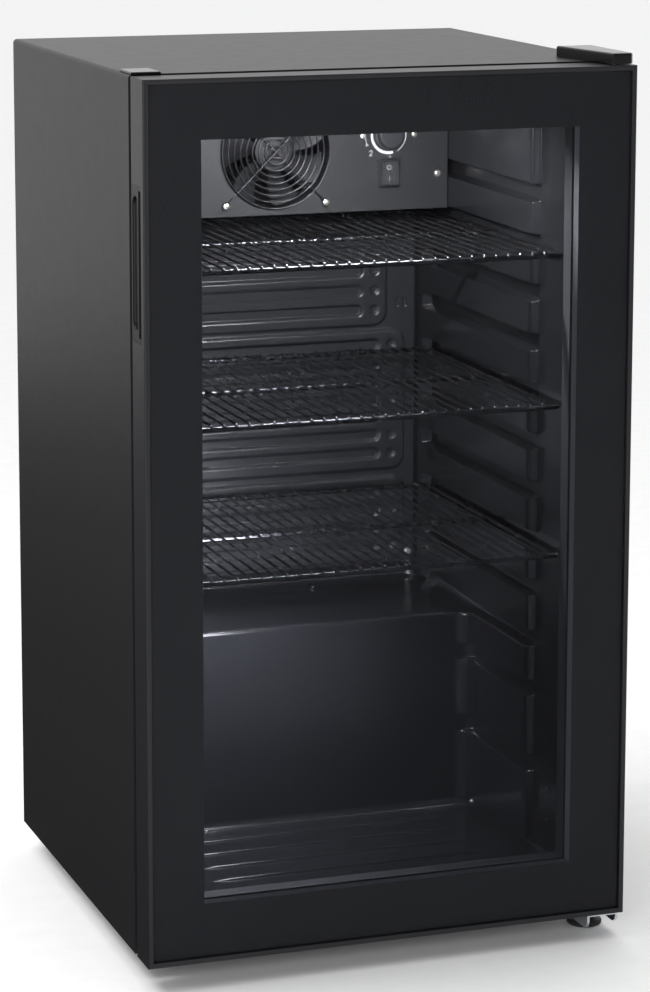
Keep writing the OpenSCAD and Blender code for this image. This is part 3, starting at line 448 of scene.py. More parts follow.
def turned(profile, centre, axis="y", steps=24):
    """A piece turned on a lathe: (radius, height) pairs swept round a centre line along x, y or z."""
    order = {"x": (2, 0, 1), "y": (0, 2, 1), "z": (0, 1, 2)}[axis]
    rings = []
    for radius, height in profile:
        ring = []
        for u, v in circle(steps):
            spot = (radius * u, radius * v, height)
            ring.append(tuple(middle + spot[k] for middle, k in zip(centre, order)))
        rings.append(ring)
    return skin(rings)


# Snap-in plugs on the right wall and the drain spout on the step.
plug = [(0, 0.4), (3.2, 0.4), (3.4, -0.3), (2.4, -1.3), (0, -1.6)]
plugs = [turned(plug, (189.6, -152, z), "x", 16) for z in (128.5, 97.5)]
spout = [(7.5, 0.2), (7.5, 1.0), (6.4, 1.6), (4.6, 1.2), (4.6, -3.5), (6.6, -3.5)]
plugs.append(turned(spout, (60, 168.5, step_top), "z", 20))
fit("liner_plugs", plugs, formed_polystyrene, "inner_liner", stands_for=False)

# ---- Evaporator ----
# Two aluminium sheets rolled together and blown apart along printed channels, then painted grey
# and screwed to the liner's back on rubber standoffs. The raised fields catch light on their rims.

plate_low, plate_high = (v * 1000 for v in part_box("evaporator_plate"))
channel_fields = [(144.0, 538.0, 660.0), (164.0, 385.0, 531.5), (164.0, 287.0, 376.0)]
islands = [(117.7, z) for z in (553.9, 574.4, 594.9, 615.4, 635.9)]
islands += [(136.6, z) for z in (401.9, 421.2, 440.4, 459.6, 478.8, 498.0, 517.1)]
islands += [(136.6, z) for z in (303.5, 322.5, 341.5, 360.5)]
dimples = [(x + 13.0, z) for x, z in islands]
channel_rise, dimple_deep, slot_deep, rim_soft = 3.6, 2.6, 2.0, 1.5
sheet_y, field_corner, island_half = 182.2, 14, 5.6
slots = [(156.8, 559.5), (165.5, 559.5)]


def from_rounded(x, z, half_x, half_z, radius):
    """Distance from a point to the edge of a rounded rectangle, less than 0 inside it."""
    dx, dz = abs(x) - half_x + radius, abs(z) - half_z + radius
    return math.hypot(max(dx, 0), max(dz, 0)) + min(max(dx, dz), 0) - radius


def plate_rise(x, z):
    """How far the channels stand out of the sheet at a point."""
    rise = 0.0
    for half, low, high in channel_fields:
        if low - 3 < z < high + 3:
            edge = from_rounded(x, z - (low + high) / 2, half, (high - low) / 2, field_corner)
            rise = max(rise, channel_rise * ease(-edge, -rim_soft, rim_soft))
    if rise > 0:
        for half, level in islands:
            if abs(z - level) < island_half + 3:
                edge = from_rounded(x, z - level, half, island_half, island_half)
                rise *= 1 - ease(-edge, -rim_soft, rim_soft)
        for at, level in dimples:
            if abs(z - level) < 8 and abs(abs(x) - at) < 8:
                away = math.hypot(abs(x) - at, z - level)
                rise -= dimple_deep * ease(-away, -5.6, -3.4)
    for at, level in slots:
        if abs(x - at) < 1.6 and abs(z - level) < 4.2:
            rise -= slot_deep
    return rise


# Points lie close together where the channels turn, and further apart along their straight middle.
turns_x = [-176 + 1.5 * i for i in range(48)]
across = turns_x + [-104 + 8 * i for i in range(27)] + [-x for x in turns_x[::-1]]
level_count = 292
upright = [plate_low.z + (plate_high.z - plate_low.z) * i / level_count for i in range(level_count + 1)]
plate_rows = [[(x, sheet_y - plate_rise(x, z), z) for x in across] for z in upright]
# Grey paint on aluminium: thin and glossy enough for the channels' rims to draw bright lines.
painted_aluminium = coat("grey_painted_roll_bond_aluminium", "#333335", 0.3, 1.2, 0.002,
                         gloss=0.6, mottle=0.05)
plate = fit("evaporator_roll_bond", [skin(plate_rows, around=False, ends=False)], painted_aluminium,
            "evaporator_plate", crease=50, shut=False)
thicken(plate, 0.8, 1.0)

# Moulded rubber: dull black that takes no highlight.
moulded_rubber = coat("moulded_black_rubber", "#1a1a1a", 0.75, 1.0, 0.03, gloss=0.3)
dress(moulded_rubber, "evaporator_standoffs", "compressor_grommets")

# ---- Screws ----
# Pan-head screws, cold headed and nickel plated: bright warm domes with a punched cross.

nickel_plate = coat("nickel_plated_steel", "#e9e5db", 0.36, 1.0, 0.004, metallic=1.0, mottle=0.05)


def block(x, y, z):
    """A squared block between two planes each way."""
    return skin([[(x[0], y[0], h), (x[1], y[0], h), (x[1], y[1], h), (x[0], y[1], h)] for h in z])


def carve(shape_mesh, cutters):
    """A copy of a mesh with solids cut out of it."""
    work = put("work", shape_mesh)
    tool_shape = drawn(cutters)
    tool_mesh = bpy.data.meshes.new("tool")
    tool_shape.to_mesh(tool_mesh)
    tool_shape.free()
    tool = put("tool", tool_mesh)
    cut = work.modifiers.new("cut", "BOOLEAN")
    cut.operation = "DIFFERENCE"
    cut.solver = "EXACT"
    cut.use_self = True
    cut.object = tool
    seen = work.evaluated_get(bpy.context.evaluated_depsgraph_get())
    carved = bpy.data.meshes.new_from_object(seen)
    bpy.data.objects.remove(work)
    bpy.data.objects.remove(tool)
    return carved


def along(axis, sign, at, u, v, h):
    """A point h out of a face and u, v across it, where the face looks along the signed axis."""
    x, y, z = at
    if axis == "y":
        return (x + u, y + sign * h, z + v)
    return (x + u, y + v, z + sign * h)


def pan_screws(name, node, places, axis, sign, head, rise):
    """A set of pan-head screws with crosses, all of one size, that look along one axis."""
    heads, crosses = [], []
    dome = [(0, -3), (head * 0.5, -3), (head * 0.5, 0), (head, 0.02), (head, rise * 0.3),
            (head * 0.9, rise * 0.68), (head * 0.66, rise * 0.92), (0, rise)]
    for at in places:
        heads.append(skin([[along(axis, sign, at, r * u, r * v, h) for u, v in circle(24)]
                           for r, h in dome]))
        for turn in (35, 125):
            c, s = math.cos(math.radians(turn)), math.sin(math.radians(turn))
            arm, thin = head * 0.52, head * 0.1
            ends = [(arm, thin), (-arm, thin), (-arm, -thin), (arm, -thin)]
            crosses.append(skin([[along(axis, sign, at, u * c - v * s, u * s + v * c, h) for u, v in ends]
                                 for h in (rise * 0.45, rise + 1)]))
    return fit(name, heads, nickel_plate, node, cuts=crosses, crease=30)


fan_at, dial_at = (-4.0, 0.0, 732.0), (116.0, 0.0, 744.5)
guard_half = 52.5
plate_screws = [(x, 180.5, z) for x in (-170, 170) for z in (294, 653)]
pan_screws("evaporator_pan_screws", "evaporator_screws", plate_screws, "y", -1, 3.6, 2.0)
cover_screws = [(x, 98.5, z) for x in (-169, 169) for z in (704, 780)]
pan_screws("cover_pan_screws", "cover_screws", cover_screws, "y", -1, 3.6, 2.0)
guard_screws = [(fan_at[0] + x, 96.3, fan_at[2] + z)
                for x in (-guard_half, guard_half) for z in (-guard_half, guard_half)]
pan_screws("guard_pan_screws", "fan_screws", guard_screws, "y", -1, 3.6, 2.0)
dial_screws = [(dial_at[0] + x, 98.5, dial_at[2]) for x in (-27.5, 27.5)]
pan_screws("dial_pan_screws", "thermostat_screws", dial_screws, "y", -1, 3.0, 1.8)
back_screws = [(x, 228.6, 255 + i * 185) for x in (-229, 229) for i in range(4)]
pan_screws("back_pan_screws", "panel_screws", back_screws, "y", 1, 3.6, 1.7)

# ---- Fan cover, fan and guard ----
# The cover is one moulding in grey-black ABS with a fine spark-eroded grain. Behind it sits a
# stock square fan in glass-filled nylon, and over it a guard of bright welded wire rings.

# Grained ABS: grey-black, its fine pits drawn at 0.8 mm, coarser than real.
grained_abs = coat("spark_grained_abs", "#2a2a2b", 0.5, 0.8, 0.01, gloss=0.4, mottle=0.05)
dress(grained_abs, "duct_cover")
# Glass-filled nylon: dark grey with a mottled skin.
fan_nylon = coat("glass_filled_grey_nylon", "#272728", 0.5, 1.5, 0.03, gloss=0.45)
dress(fan_nylon, "fan_frame")

hub = turned([(0, 104.2), (17.5, 104.2), (19.4, 105.0), (20, 106.5), (20, 119), (0, 119)], fan_at, "y", 32)
blades = [hub]
blade_count = 7
for blade in range(blade_count):
    rings = []
    for k in range(9):
        t = k / 8
        radius = 19 + 36 * t
        start = math.tau * blade / blade_count + math.radians(14 * t * t)
        span = math.radians(40 - 6 * t)
        front, back = [], []
        for m in range(7):
            u = m / 6
            a = start + span * u
            y = 105.5 + 12.0 * u - 2.2 * math.sin(math.pi * u) * (1 - 0.4 * t)
            x, z = fan_at[0] + radius * math.cos(a), fan_at[2] + radius * math.sin(a)
            front.append((x, y, z))
            back.append((x, y + 1.3 - 0.9 * abs(2 * u - 1), z))
        rings.append(front + back[::-1])
    blades.append(skin(rings))
fit("fan_rotor", blades, fan_nylon, "fan_blades", crease=45)


def wire(path, radius, sides=8, closed=False):
    """A round wire along a path, its two ends rounded off unless the path closes on itself."""
    path = [Vector(p) for p in path]
    sizes = [radius] * len(path)
    if not closed:
        head, tail = (path[1] - path[0]).normalized(), (path[-1] - path[-2]).normalized()
        path = [path[0], path[0] + head * radius * 0.4] + path[1:]
        path.insert(-1, path[-1] - tail * radius * 0.4)
        sizes = [radius * 0.55] + [radius] * (len(path) - 2) + [radius * 0.55]
    rings, side, rim = [], None, circle(sides)
    for i, p in enumerate(path):
        if closed:
            run = path[(i + 1) % len(path)] - path[i - 1]
        else:
            run = path[min(i + 1, len(path) - 1)] - path[max(i - 1, 0)]
        run.normalize()
        if side is None:
            side = run.orthogonal().normalized()
        side = (side - run * side.dot(run)).normalized()
        other = run.cross(side)
        rings.append([tuple(p + (side * u + other * v) * sizes[i]) for u, v in rim])
    if closed:
        rings.append(rings[0])
    return skin(rings, ends=not closed)


# Chrome on drawn wire: dark mirror metal, bright only where it turns to the lamp.
bright_wire = coat("chromed_welded_wire", "#4c4c4e", 0.34, 2.0, 0.004, metallic=1.0, mottle=0.05)
guard = []
ring_pitch, eye_radius = 6.28, 3.1
for k in range(1, 10):
    size = ring_pitch * k
    hoop = [(fan_at[0] + size * u, 96.0, fan_at[2] + size * v) for u, v in circle(16 + 4 * k)]
    guard.append(wire(hoop, 0.85, closed=True))
spoke = [(-70.5, 98.0), (-60, 98.0), (-56, 97.4), (56, 97.4), (60, 98.0), (70.5, 98.0)]
for turn in (45, 135):
    c, s = math.cos(math.radians(turn)), math.sin(math.radians(turn))
    guard.append(wire([(fan_at[0] + t * c, y - 0.2, fan_at[2] + t * s) for t, y in spoke], 1.15))
for x, y, z in guard_screws:
    eye = [(x + eye_radius * u, 97.6, z + eye_radius * v) for u, v in circle(20)]
    guard.append(wire(eye, 1.0, closed=True))
fit("fan_guard_wires", guard, bright_wire, "fan_guard", crease=60)

# ---- Thermostat ----
# A bulb thermostat in a zinc can. Its moulded knob has grip ribs and one pointer groove, and the
# cover round it is pad-printed in grey with a broken ring, an outer arc and the numbers 1 and 2.

# Moulded ABS: mid grey and softly satin, a shade lighter than the cover behind it.
knob_grey = coat("moulded_grey_abs", "#353537", 0.42, 0.9, 0.015, gloss=0.4, mottle=0.04)
knob_rows = [(0, 98.2), (15.5, 98.2), (15.5, 95.4), (14.9, 94.6), (13.6, 94.4), (13.3, 93.8), (12.9, 89.6),
             (12.2, 88.6), (10.9, 88.2), (0, 88.2)]
knob_corners, grip_deep = 96, 0.35
knob_rings = []
for radius, y in knob_rows:
    grip = grip_deep if 89 < y < 94 else 0.0
    reach = [radius - grip * (i % 3 == 0) for i in range(knob_corners)]
    knob_rings.append([(dial_at[0] + r * u, y, dial_at[2] + r * v)
                       for r, (u, v) in zip(reach, circle(knob_corners))])
pointer = block((dial_at[0] - 0.9, dial_at[0] + 0.9), (87, 89.2), (dial_at[2] + 4, dial_at[2] + 14))
fit("thermostat_knob_turned", [skin(knob_rings)], knob_grey, "thermostat_knob", cuts=[pointer], crease=40)


ink_thick = 0.08


def flat_arc(centre, inner, outer, start, end, y, steps=40):
    """A thin printed band on the cover, that bends round a centre and may change width."""
    rows_of = []
    for i in range(steps + 1):
        t = i / steps
        a = math.radians(start + (end - start) * t)
        r0 = inner[0] + (inner[1] - inner[0]) * t
        r1 = outer[0] + (outer[1] - outer[0]) * t
        (x0, z0), (x1, z1) = [(centre[0] + r * math.cos(a), centre[2] + r * math.sin(a)) for r in (r0, r1)]
        rows_of.append([(x0, y, z0), (x1, y, z1), (x1, y + ink_thick, z1), (x0, y + ink_thick, z0)])
    return skin(rows_of)


stroke_one = [(-0.22, 0.28), (0.05, 0.5), (0.05, -0.5)]
stroke_two = [(-0.28, 0.26), (-0.14, 0.46), (0.12, 0.5), (0.27, 0.32), (0.22, 0.08), (-0.3, -0.5),
              (0.3, -0.5)]


def printed_digit(stroke, size, at):
    """One printed digit as a thin stroke, seen from the front."""
    x, y, z = at
    shapes = []
    for (u0, v0), (u1, v1) in zip(stroke, stroke[1:]):
        run = math.hypot(u1 - u0, v1 - v0)
        du, dv = (u1 - u0) / run * 0.06, (v1 - v0) / run * 0.06
        corners = [(u0 - du - dv, v0 - dv + du), (u1 + du - dv, v1 + dv + du),
                   (u1 + du + dv, v1 + dv - du), (u0 - du + dv, v0 - dv - du)]
        shapes.append(skin([[(x + u * size, h, z + v * size) for u, v in corners]
                            for h in (y, y + ink_thick)]))
    return shapes


# Pad ink: a flat light grey film on the cover's skin.
printed_grey = coat("pad_printed_grey_ink", "#dcdcdc", 0.5, 0.8, 0.004, gloss=0.3, mottle=0.05)
print_y = 98.42
marks = [flat_arc(dial_at, (17.5, 16.0), (19.6, 18.9), 100, 285, print_y),
         flat_arc(dial_at, (18.0, 17.5), (18.6, 19.4), -60, 92, print_y),
         flat_arc(dial_at, (24.6, 24.6), (25.3, 25.3), 122, 202, print_y),
         flat_arc(dial_at, (22.9, 22.9), (27.0, 27.0), 121, 122.5, print_y, 2),
         flat_arc(dial_at, (22.9, 22.9), (27.0, 27.0), 201.5, 203, print_y, 2)]
marks += printed_digit(stroke_one, 5.2, (dial_at[0] + 1.5, print_y, dial_at[2] - 23.6))
marks += printed_digit(stroke_two, 5.2, (dial_at[0] - 19.0, print_y, dial_at[2] - 17.5))
fit("dial_printing", marks, printed_grey, "duct_cover", stands_for=False, crease=20)

# ---- Lamp switch ----
# A snap-in rocker in glossy black nylon under a clear PVC splash boot with bevelled sides.

# Glossy nylon: deep black with tight highlights.
switch_nylon = coat("glossy_black_nylon", "#121214", 0.22, 1.0, 0.006, gloss=0.5)
dress(switch_nylon, "switch_body")
rocker_side = [(105.5, 704.5), (105.5, 709.5), (101.5, 716.8), (97.6, 717.0), (97.0, 712), (96.9, 707),
               (96.2, 702.5), (95.3, 697.2), (101.5, 697.0)]
rocker_body = skin([[(x, y, z) for y, z in rocker_side] for x in (108.6, 123.4)])
fit("rocker_moulding", [rocker_body], switch_nylon, "switch_rocker", rounding=0.5)
marks = [flat_arc((116, 0, 712.4), (1.9, 1.9), (2.5, 2.5), 0, 359, 96.94, 32)]
marks.append(block((115.7, 116.3), (95.62, 95.75), (698.8, 703.2)))
fit("rocker_marks", marks, printed_grey, "switch_rocker", stands_for=False)


def glass(name, tint, edge_gloss, index, roughness=0.03, milk=0.0):
    """Clear sheet that tints what is behind it, mirrors more towards its edges and may be milky."""
    material = bpy.data.materials.new(name)
    material.use_nodes = True
    tree = material.node_tree
    tree.nodes.remove(tree.nodes["Principled BSDF"])
    shine = add(tree, "ShaderNodeFresnel", {"IOR": index})
    smear = add(tree, "ShaderNodeTexNoise", {"Scale": 9.0, "Detail": 3.0},
                {"Vector": add(tree, "ShaderNodeTexCoord").outputs["Object"]})
    haze = add(tree, "ShaderNodeMapRange", {"To Min": roughness, "To Max": roughness * 2.2},
               {"Value": smear.outputs["Fac"]})
    through = add(tree, "ShaderNodeBsdfTransparent", {"Color": colour(tint)})
    mirror = add(tree, "ShaderNodeBsdfGlossy", {"Color": colour(edge_gloss)},
                 {"Roughness": haze.outputs["Result"]})
    both = add(tree, "ShaderNodeMixShader", {}, {0: shine.outputs["Fac"], 1: through.outputs["BSDF"],
                                                 2: mirror.outputs["BSDF"]})
    if milk:
        bloom = add(tree, "ShaderNodeBsdfDiffuse", {"Color": colour("#b4b4b6")})
        both = add(tree, "ShaderNodeMixShader", {0: milk},
                   {1: both.outputs["Shader"], 2: bloom.outputs["BSDF"]})
    tree.links.new(both.outputs["Shader"], tree.nodes["Material Output"].inputs["Surface"])
    return material


# Soft PVC: clear but a little cloudy, with slack highlights on its bevels.
boot_pvc = glass("clear_soft_pvc", "#f4f5f6", "#ffffff", 1.3, 0.1, milk=0.05)
boot_x, boot_z, boot_half_x, boot_half_z = 116, 707, 12.5, 15.75


def boot_ring(inset, y):
    """The boot's outline at one depth, drawn in from its foot by an inset."""
    return [(boot_x + sx * (boot_half_x - inset), y, boot_z + sz * (boot_half_z - inset))
            for sx, sz in ((-1, -1), (1, -1), (1, 1), (-1, 1))]


boot_outer = [boot_ring(*at) for at in ((0, 98.5), (0, 97.3), (1.4, 96.9), (3.0, 91.4), (3.9, 90.5))]
boot_inner = [boot_ring(*at) for at in ((1.2, 98.5), (1.2, 97.0), (2.4, 96.5), (3.9, 91.9), (4.6, 91.3))]
boot_points, boot_faces = skin(boot_inner[::-1] + boot_outer)
# The rim that lies on the cover is a sheet of its own, so its edges stay sharp.
rim_corners = set(range(4 * len(boot_inner) - 4, 4 * len(boot_inner) + 4))
boot_walls = (boot_points, [face for face in boot_faces if not set(face) <= rim_corners])
boot_rim = skin([boot_inner[0], boot_outer[0]], ends=False)
fit("splash_boot", [boot_walls, boot_rim], boot_pvc, "switch_boot", rounding=0.35)

# ---- Lamp ----
# A white polycarbonate strip lamp on the ceiling behind the front edge, with a frosted lens that
# is a flat glowing bar. It lights the walls from the top and leaves the floor in shade.

# White polycarbonate: plain off-white, softly satin.
white_polycarbonate = coat("white_polycarbonate", "#d9d9d8", 0.45, 1.0, 0.01)
dress(white_polycarbonate, "light_housing")
# Frosted acrylic: a flat bar of light, with no shape of a bulb behind it.
frosted_lens = coat("frosted_acrylic", "#e8eaee", 0.5, 1.2, 0.01)
lens = frosted_lens.node_tree.nodes["Principled BSDF"]
lens.inputs["Emission Color"].default_value = colour("#fffefb")
lens.inputs["Emission Strength"].default_value = 6.0
dress(frosted_lens, "light_diffuser")
lamp_low, lamp_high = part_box("light_diffuser")
strip_at = (0.0, (lamp_low.y + lamp_high.y) / 2, lamp_low.z - 0.002)
strip = soft_lamp("lamp_strip", strip_at, (0.0, 0.08, 0.2), 0.19, 7.3, "#fffefb")
strip.data.shape = "RECTANGLE"
strip.data.size_y = 0.02

# A studio helper, not a real lamp: it stands in for light thrown back under the lowest shelf.
under_glow = soft_lamp("bounce_under_shelves", (-0.10, -0.125, 0.348), (-0.15, 0.0315, 0.22), 0.14, 4.3,
                       "#f5f5fa")
under_glow.visible_camera = False

# ---- Shelves ----
# Three wire shelves: two long side rods that run in the liner's grooves, three cross rails and
# fine wires welded over them, their ends turned down over the outer rails. Bright nickel plate.

# Nickel on drawn wire: dark metal with a thin bright line where it turns to the lamp.
nickel_wire = coat("bright_nickel_plated_wire", "#5f5f61", 0.27, 2.0, 0.004, metallic=1.0, mottle=0.06)
rail_radius, wire_radius, wire_count, wire_pitch = 2.5, 1.35, 29, 12.15
for shelf in ("shelf_top", "shelf_middle", "shelf_bottom"):
    low, high = (v * 1000 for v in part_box(shelf))
    rail_z = high.z - 4.9
    wire_z = high.z - wire_radius
    shelf_wires = []
    for x in (low.x + rail_radius, high.x - rail_radius):
        rod = [(x, y, rail_z) for y in (low.y + 2.4, -100, 0, 100, high.y - 2.4)]
        shelf_wires.append(wire(rod, rail_radius, 12))
    for y in (low.y + 2.6, (low.y + high.y) / 2, high.y - 2.6):
        rail = [(x, y, rail_z) for x in (low.x + 0.1, -120, 0, 120, high.x - 0.1)]
        shelf_wires.append(wire(rail, rail_radius, 12))
    turn_down = [(0.2, rail_z - 0.4), (0.1, rail_z + 1.2), (0.6, rail_z + 2.7), (1.9, wire_z), (4, wire_z)]
    for i in range(wire_count):
        x = (i - 14) * wire_pitch
        line = [(x, low.y + reach, z) for reach, z in turn_down] + [(x, -60, wire_z), (x, 60, wire_z)]
        line += [(x, high.y - reach, z) for reach, z in turn_down[::-1]]
        shelf_wires.append(wire(line, wire_radius))
    fit(shelf + "_wires", shelf_wires, nickel_wire, shelf, crease=60)

# ---- Door frame ----
# Four aluminium extrusions, mitred at the corners and keyed together with moulded blocks, then
# anodised dark slate. A narrow lip with a bright inner ridge stands round the front glass.

half_w, door_front, door_back = 237.0, -230.5, -192.5
door_low, door_top = 25.0, 839.0
frame_section = [(0.9, door_front), (2.4, door_front), (4.2, door_front + 0.35), (4.75, door_front + 0.15),
                 (5.0, door_front + 0.5), (5.0, -225.1), (36.5, -225.1), (36.5, door_back), (0.9, door_back),
                 (0.25, door_back - 0.25), (0.0, door_back - 0.9), (0.0, door_front + 0.9),
                 (0.25, door_front + 0.25)]
mid_z = (door_low + door_top) / 2


def mitred(side):
    """One bar of the frame with both ends cut at 45 degrees."""
    rings = []
    for end in (-1, 1):
        ring = []
        for inset, y in frame_section:
            hold = inset + 0.06
            if side in ("left", "right"):
                x = (half_w - inset) * (-1 if side == "left" else 1)
                z = mid_z + end * ((door_top - door_low) / 2 - hold)
            else:
                x = end * (half_w - hold)
                z = door_top - inset if side == "top" else door_low + inset
            ring.append((x, y, z))
        rings.append(ring)
    return skin(rings)


# Dark anodising: slate grey metal skin, dull on its faces and lighter along the lip.
anodised = coat("dark_slate_anodised_aluminium", "#1e1e21", 0.38, 1.2, 0.002, gloss=0.22, mottle=0.03)
slot = block((-240, -234.4), (-222.6, -195.3), (602.6, 744.4))
fit("door_left_bar", [mitred("left")], anodised, "door_stile_left", cuts=[slot], crease=50)
fit("door_right_bar", [mitred("right")], anodised, "door_stile_right", crease=50)
bush_at = (222.0, -210.5, 0.0)
top_bore = turned([(6.7, 835.5), (6.7, 842)], bush_at, "z", 32)
low_bore = turned([(6.7, 22), (6.7, 28.5)], bush_at, "z", 32)
fit("door_top_bar", [mitred("top")], anodised, "door_rail_top", cuts=[top_bore], crease=50)
fit("door_bottom_bar", [mitred("bottom")], anodised, "door_rail_bottom", cuts=[low_bore], crease=50)

# Moulded nylon: plain black, neither dull nor glossy.
moulded_nylon = coat("moulded_black_nylon", "#1f1f21", 0.5, 1.0, 0.015, gloss=0.4)
dress(moulded_nylon, "corner_blocks")
# Acetal: milky white, smooth from the lathe.
acetal = coat("turned_white_acetal", "#d8d8d2", 0.4, 0.9, 0.006)
bore_r, bush_r = 3.75, 6.5
bushes = []
for low, high in ((25.3, 41.0), (823.0, 838.7)):
    bush = [(bore_r, low), (bush_r, low), (bush_r, low + 0.2), (bush_r, high - 0.3), (6.2, high),
            (bore_r, high)]
    bushes.append(turned(bush, bush_at, "z", 32))
bores = [turned([(bore_r, a), (bore_r, b)], bush_at, "z", 32) for a, b in ((24, 42), (822, 840))]
fit("hinge_bush_pair", bushes, acetal, "hinge_bushes", cuts=bores, crease=40)

# ---- Door glass ----
# Two 4 mm panes of tempered glass with dry air between them. The front pane has a wide border
# fired in dark enamel on its inner face, so the door reads black with a clear window.

# Tinted glass: a faint grey over what is behind it. It mirrors less than real panes do.
front_glass = glass("tempered_tinted_glass", "#dcdde0", "#9a9ba1", 1.16, 0.04)
dress(front_glass, "outer_glass")
# Clear glass: seen only as a second, weaker gloss.
inner_pane = glass("tempered_clear_glass", "#f1f2f3", "#8f9096", 1.10, 0.04)
dress(inner_pane, "inner_glass")
# Fired enamel: an even near-black behind the glass.
fired_enamel = coat("fired_black_enamel", "#383839", 0.5, 3.0, 0.002, gloss=0.2, mottle=0.02)
dress(fired_enamel, "glass_border")
# Grey anodising, lightened beyond its own tone as painted light for the shaded gap: a pale narrow band
# between the panes.
anodised_grey_with_painted_light = coat("anodised_spacer_lightened_as_painted_light", "#8c8c8f", 0.45, 1.2, 0.006, gloss=0.3)
dress(anodised_grey_with_painted_light, "glass_spacer")
# Extruded PVC: dark grey, a thin step round the window.
frame_plastic = coat("extruded_grey_pvc", "#434345", 0.45, 1.2, 0.01, gloss=0.35)
dress(frame_plastic, "door_inner_frame")

# ---- Door gasket ----
# A soft black PVC bellows with a magnet strip in its nose. It is pushed into the frame's back and
# welded at the corners, and folds once between the two when the door is shut.

seal_half_x, seal_half_z, seal_mid_z = 221, 391, 432
bellows = [(0.6, -192.45), (14.6, -192.45), (14.6, -191.2), (12.4, -190.2), (14.8, -188.4), (14.4, -186.4),
           (0.8, -186.4), (0.2, -188.4), (2.8, -190.2), (0.4, -191.4)]
loop = []
for sx, sz in ((1, 1), (-1, 1), (-1, -1), (1, -1), (1, 1)):
    loop.append([(sx * (seal_half_x - u), y, seal_mid_z + sz * (seal_half_z - u)) for u, y in bellows])
# Soft PVC: black, with dull highlights along its folds.
soft_pvc = coat("soft_black_pvc", "#1c1c1d", 0.5, 1.0, 0.01, gloss=0.4)
fit("gasket_bellows", [skin(loop, ends=False)], soft_pvc, "door_gasket", rounding=0.3, crease=30)

# ---- Handle ----
# A moulded cup set into the frame's left side. Fingers reach into a long round-ended slot, whose
# front lip rolls over; a plain flange of the same plastic closes the extrusion round it.

slot_y, slot_z, slot_half, slot_r = -204.85, 673.5, 59.5, 7.75


def slot_ring(grow, x, n=12):
    """The slot's outline in the plane of the door's side, grown by an amount."""
    r = slot_r + grow
    reach = slot_half - slot_r
    ring = []
    for start, middle in ((0, slot_z + reach), (math.pi, slot_z - reach)):
        for k in range(n + 1):
            a = start + math.pi * k / n
            ring.append((x, slot_y + r * math.cos(a), middle + r * math.sin(a)))
    return ring


flange = block((-236.9, -234.6), (-222.5, -195.4), (602.75, 744.25))
cup_wall = [(1.8, -236.0), (1.8, -219.4), (0.4, -218.1)]
hollow_wall = [(2.2, -238.0), (1.5, -236.95), (0.7, -236.4), (0.15, -235.6), (0.0, -234.5), (-0.3, -222.5),
               (-1.2, -220.8), (-2.6, -220.2)]
cup, hollow = (skin([slot_ring(grow, x) for grow, x in wall_of]) for wall_of in (cup_wall, hollow_wall))
groove = block((-238, -236.1), (-221.9, -214.7), (607.5, 739.5))
# Moulded black ABS, blacker than the frame round it: its colour is darkened further as painted shade, so the
# slot reads as a dark recess.
handle_abs_darkened_as_shade = coat("black_abs_darkened_as_painted_shade", "#0e0e10", 0.36, 0.9, 0.003, gloss=0.14, mottle=0.03)
fit("handle_cup", [flange, cup], handle_abs_darkened_as_shade, "handle_insert", cuts=[hollow, groove], crease=35)
# Painted shade: a dead black strip with no shine, laid in the groove in front of the slot to stand in for
# its shadow.
painted_shade_black = coat("painted_shade_in_groove", "#0a0a0b", 0.85, 1.0, 0.004, gloss=0.04)
shade_strip_block = block((-236.85, -236.1), (-221.5, -215.1), (608, 739))
fit("handle_groove_painted_shade", [shade_strip_block], painted_shade_black, "handle_insert", stands_for=False, rounding=0.3)

# ---- Top hinge ----
# A zinc-plated steel plate with a riveted pin is screwed through the wrap to a tapped backing
# plate. A black ABS cover with wide chamfers clips over it, and a cap fills the unused side.

# Bright zinc: silvery with a bluish cast and slow cloudy patches.
zinc_plate = coat("bright_zinc_plated_steel", "#c6c9cf", 0.32, 2.2, 0.005, metallic=1.0, mottle=0.08)
dress(zinc_plate, "top_hinge_plate", "hinge_backing_plate", "foot_nut")
# Satin ABS: black, with a soft glare on its flat top.
satin_abs = coat("satin_black_abs", "#0e0e0f", 0.2, 0.9, 0.002, gloss=0.2, mottle=0.04)


def shrunk(outline, inset):
    """A convex outline with every side moved inwards."""
    count = len(outline)
    spun = []
    for i in range(count):
        a, b, c = Vector(outline[i - 1]), Vector(outline[i]), Vector(outline[(i + 1) % count])
        one, two = (b - a).normalized(), (c - b).normalized()
        out = Vector((-one.y, one.x)) + Vector((-two.y, two.x))
        out.normalize()
        hold = inset / max(out.dot(Vector((-one.y, one.x))), 0.3)
        spun.append(tuple(b + out * hold))
    return spun


cover_plan = [(231.5, -226.5), (235.0, -223.0), (235.0, -130.0), (199.0, -130.0), (214.0, -226.5)]
cover_rings = [[(x, y, z) for x, y in shrunk(cover_plan, inset)]
               for inset, z in ((0, 840.1), (0, 848.4), (0.35, 849.4), (1.3, 850.0))]
fit("hinge_cover_moulding", [skin(cover_rings)], satin_abs, "top_hinge_cover", rounding=0.2, crease=50)
cap_plan = [(-235.0, -187.7), (-207.0, -187.7), (-207.0, -150.0), (-235.0, -150.0)]
cap_rings = [[(x, y, z) for x, y in shrunk(cap_plan, inset)]
             for inset, z in ((0, 840.1), (0, 841.3), (0.8, 842.0))]
cap_lip = block((-234.8, -207.2), (-187.6, -186.25), (832.0, 840.6))
fit("hinge_hole_cover", [skin(cap_rings), cap_lip], satin_abs, "hinge_hole_cap", rounding=0.3, crease=50)

# ---- Bottom hinge ----
# A pressed steel channel, bright zinc plated, folded down on both sides with cut edges that
# shine. The door's pin and a domed washer stand on it, and the right foot screws in from below.

channel_x, plate_top, sheet, bend = (205.0, 236.8), 22.0, 2.5, 2.6


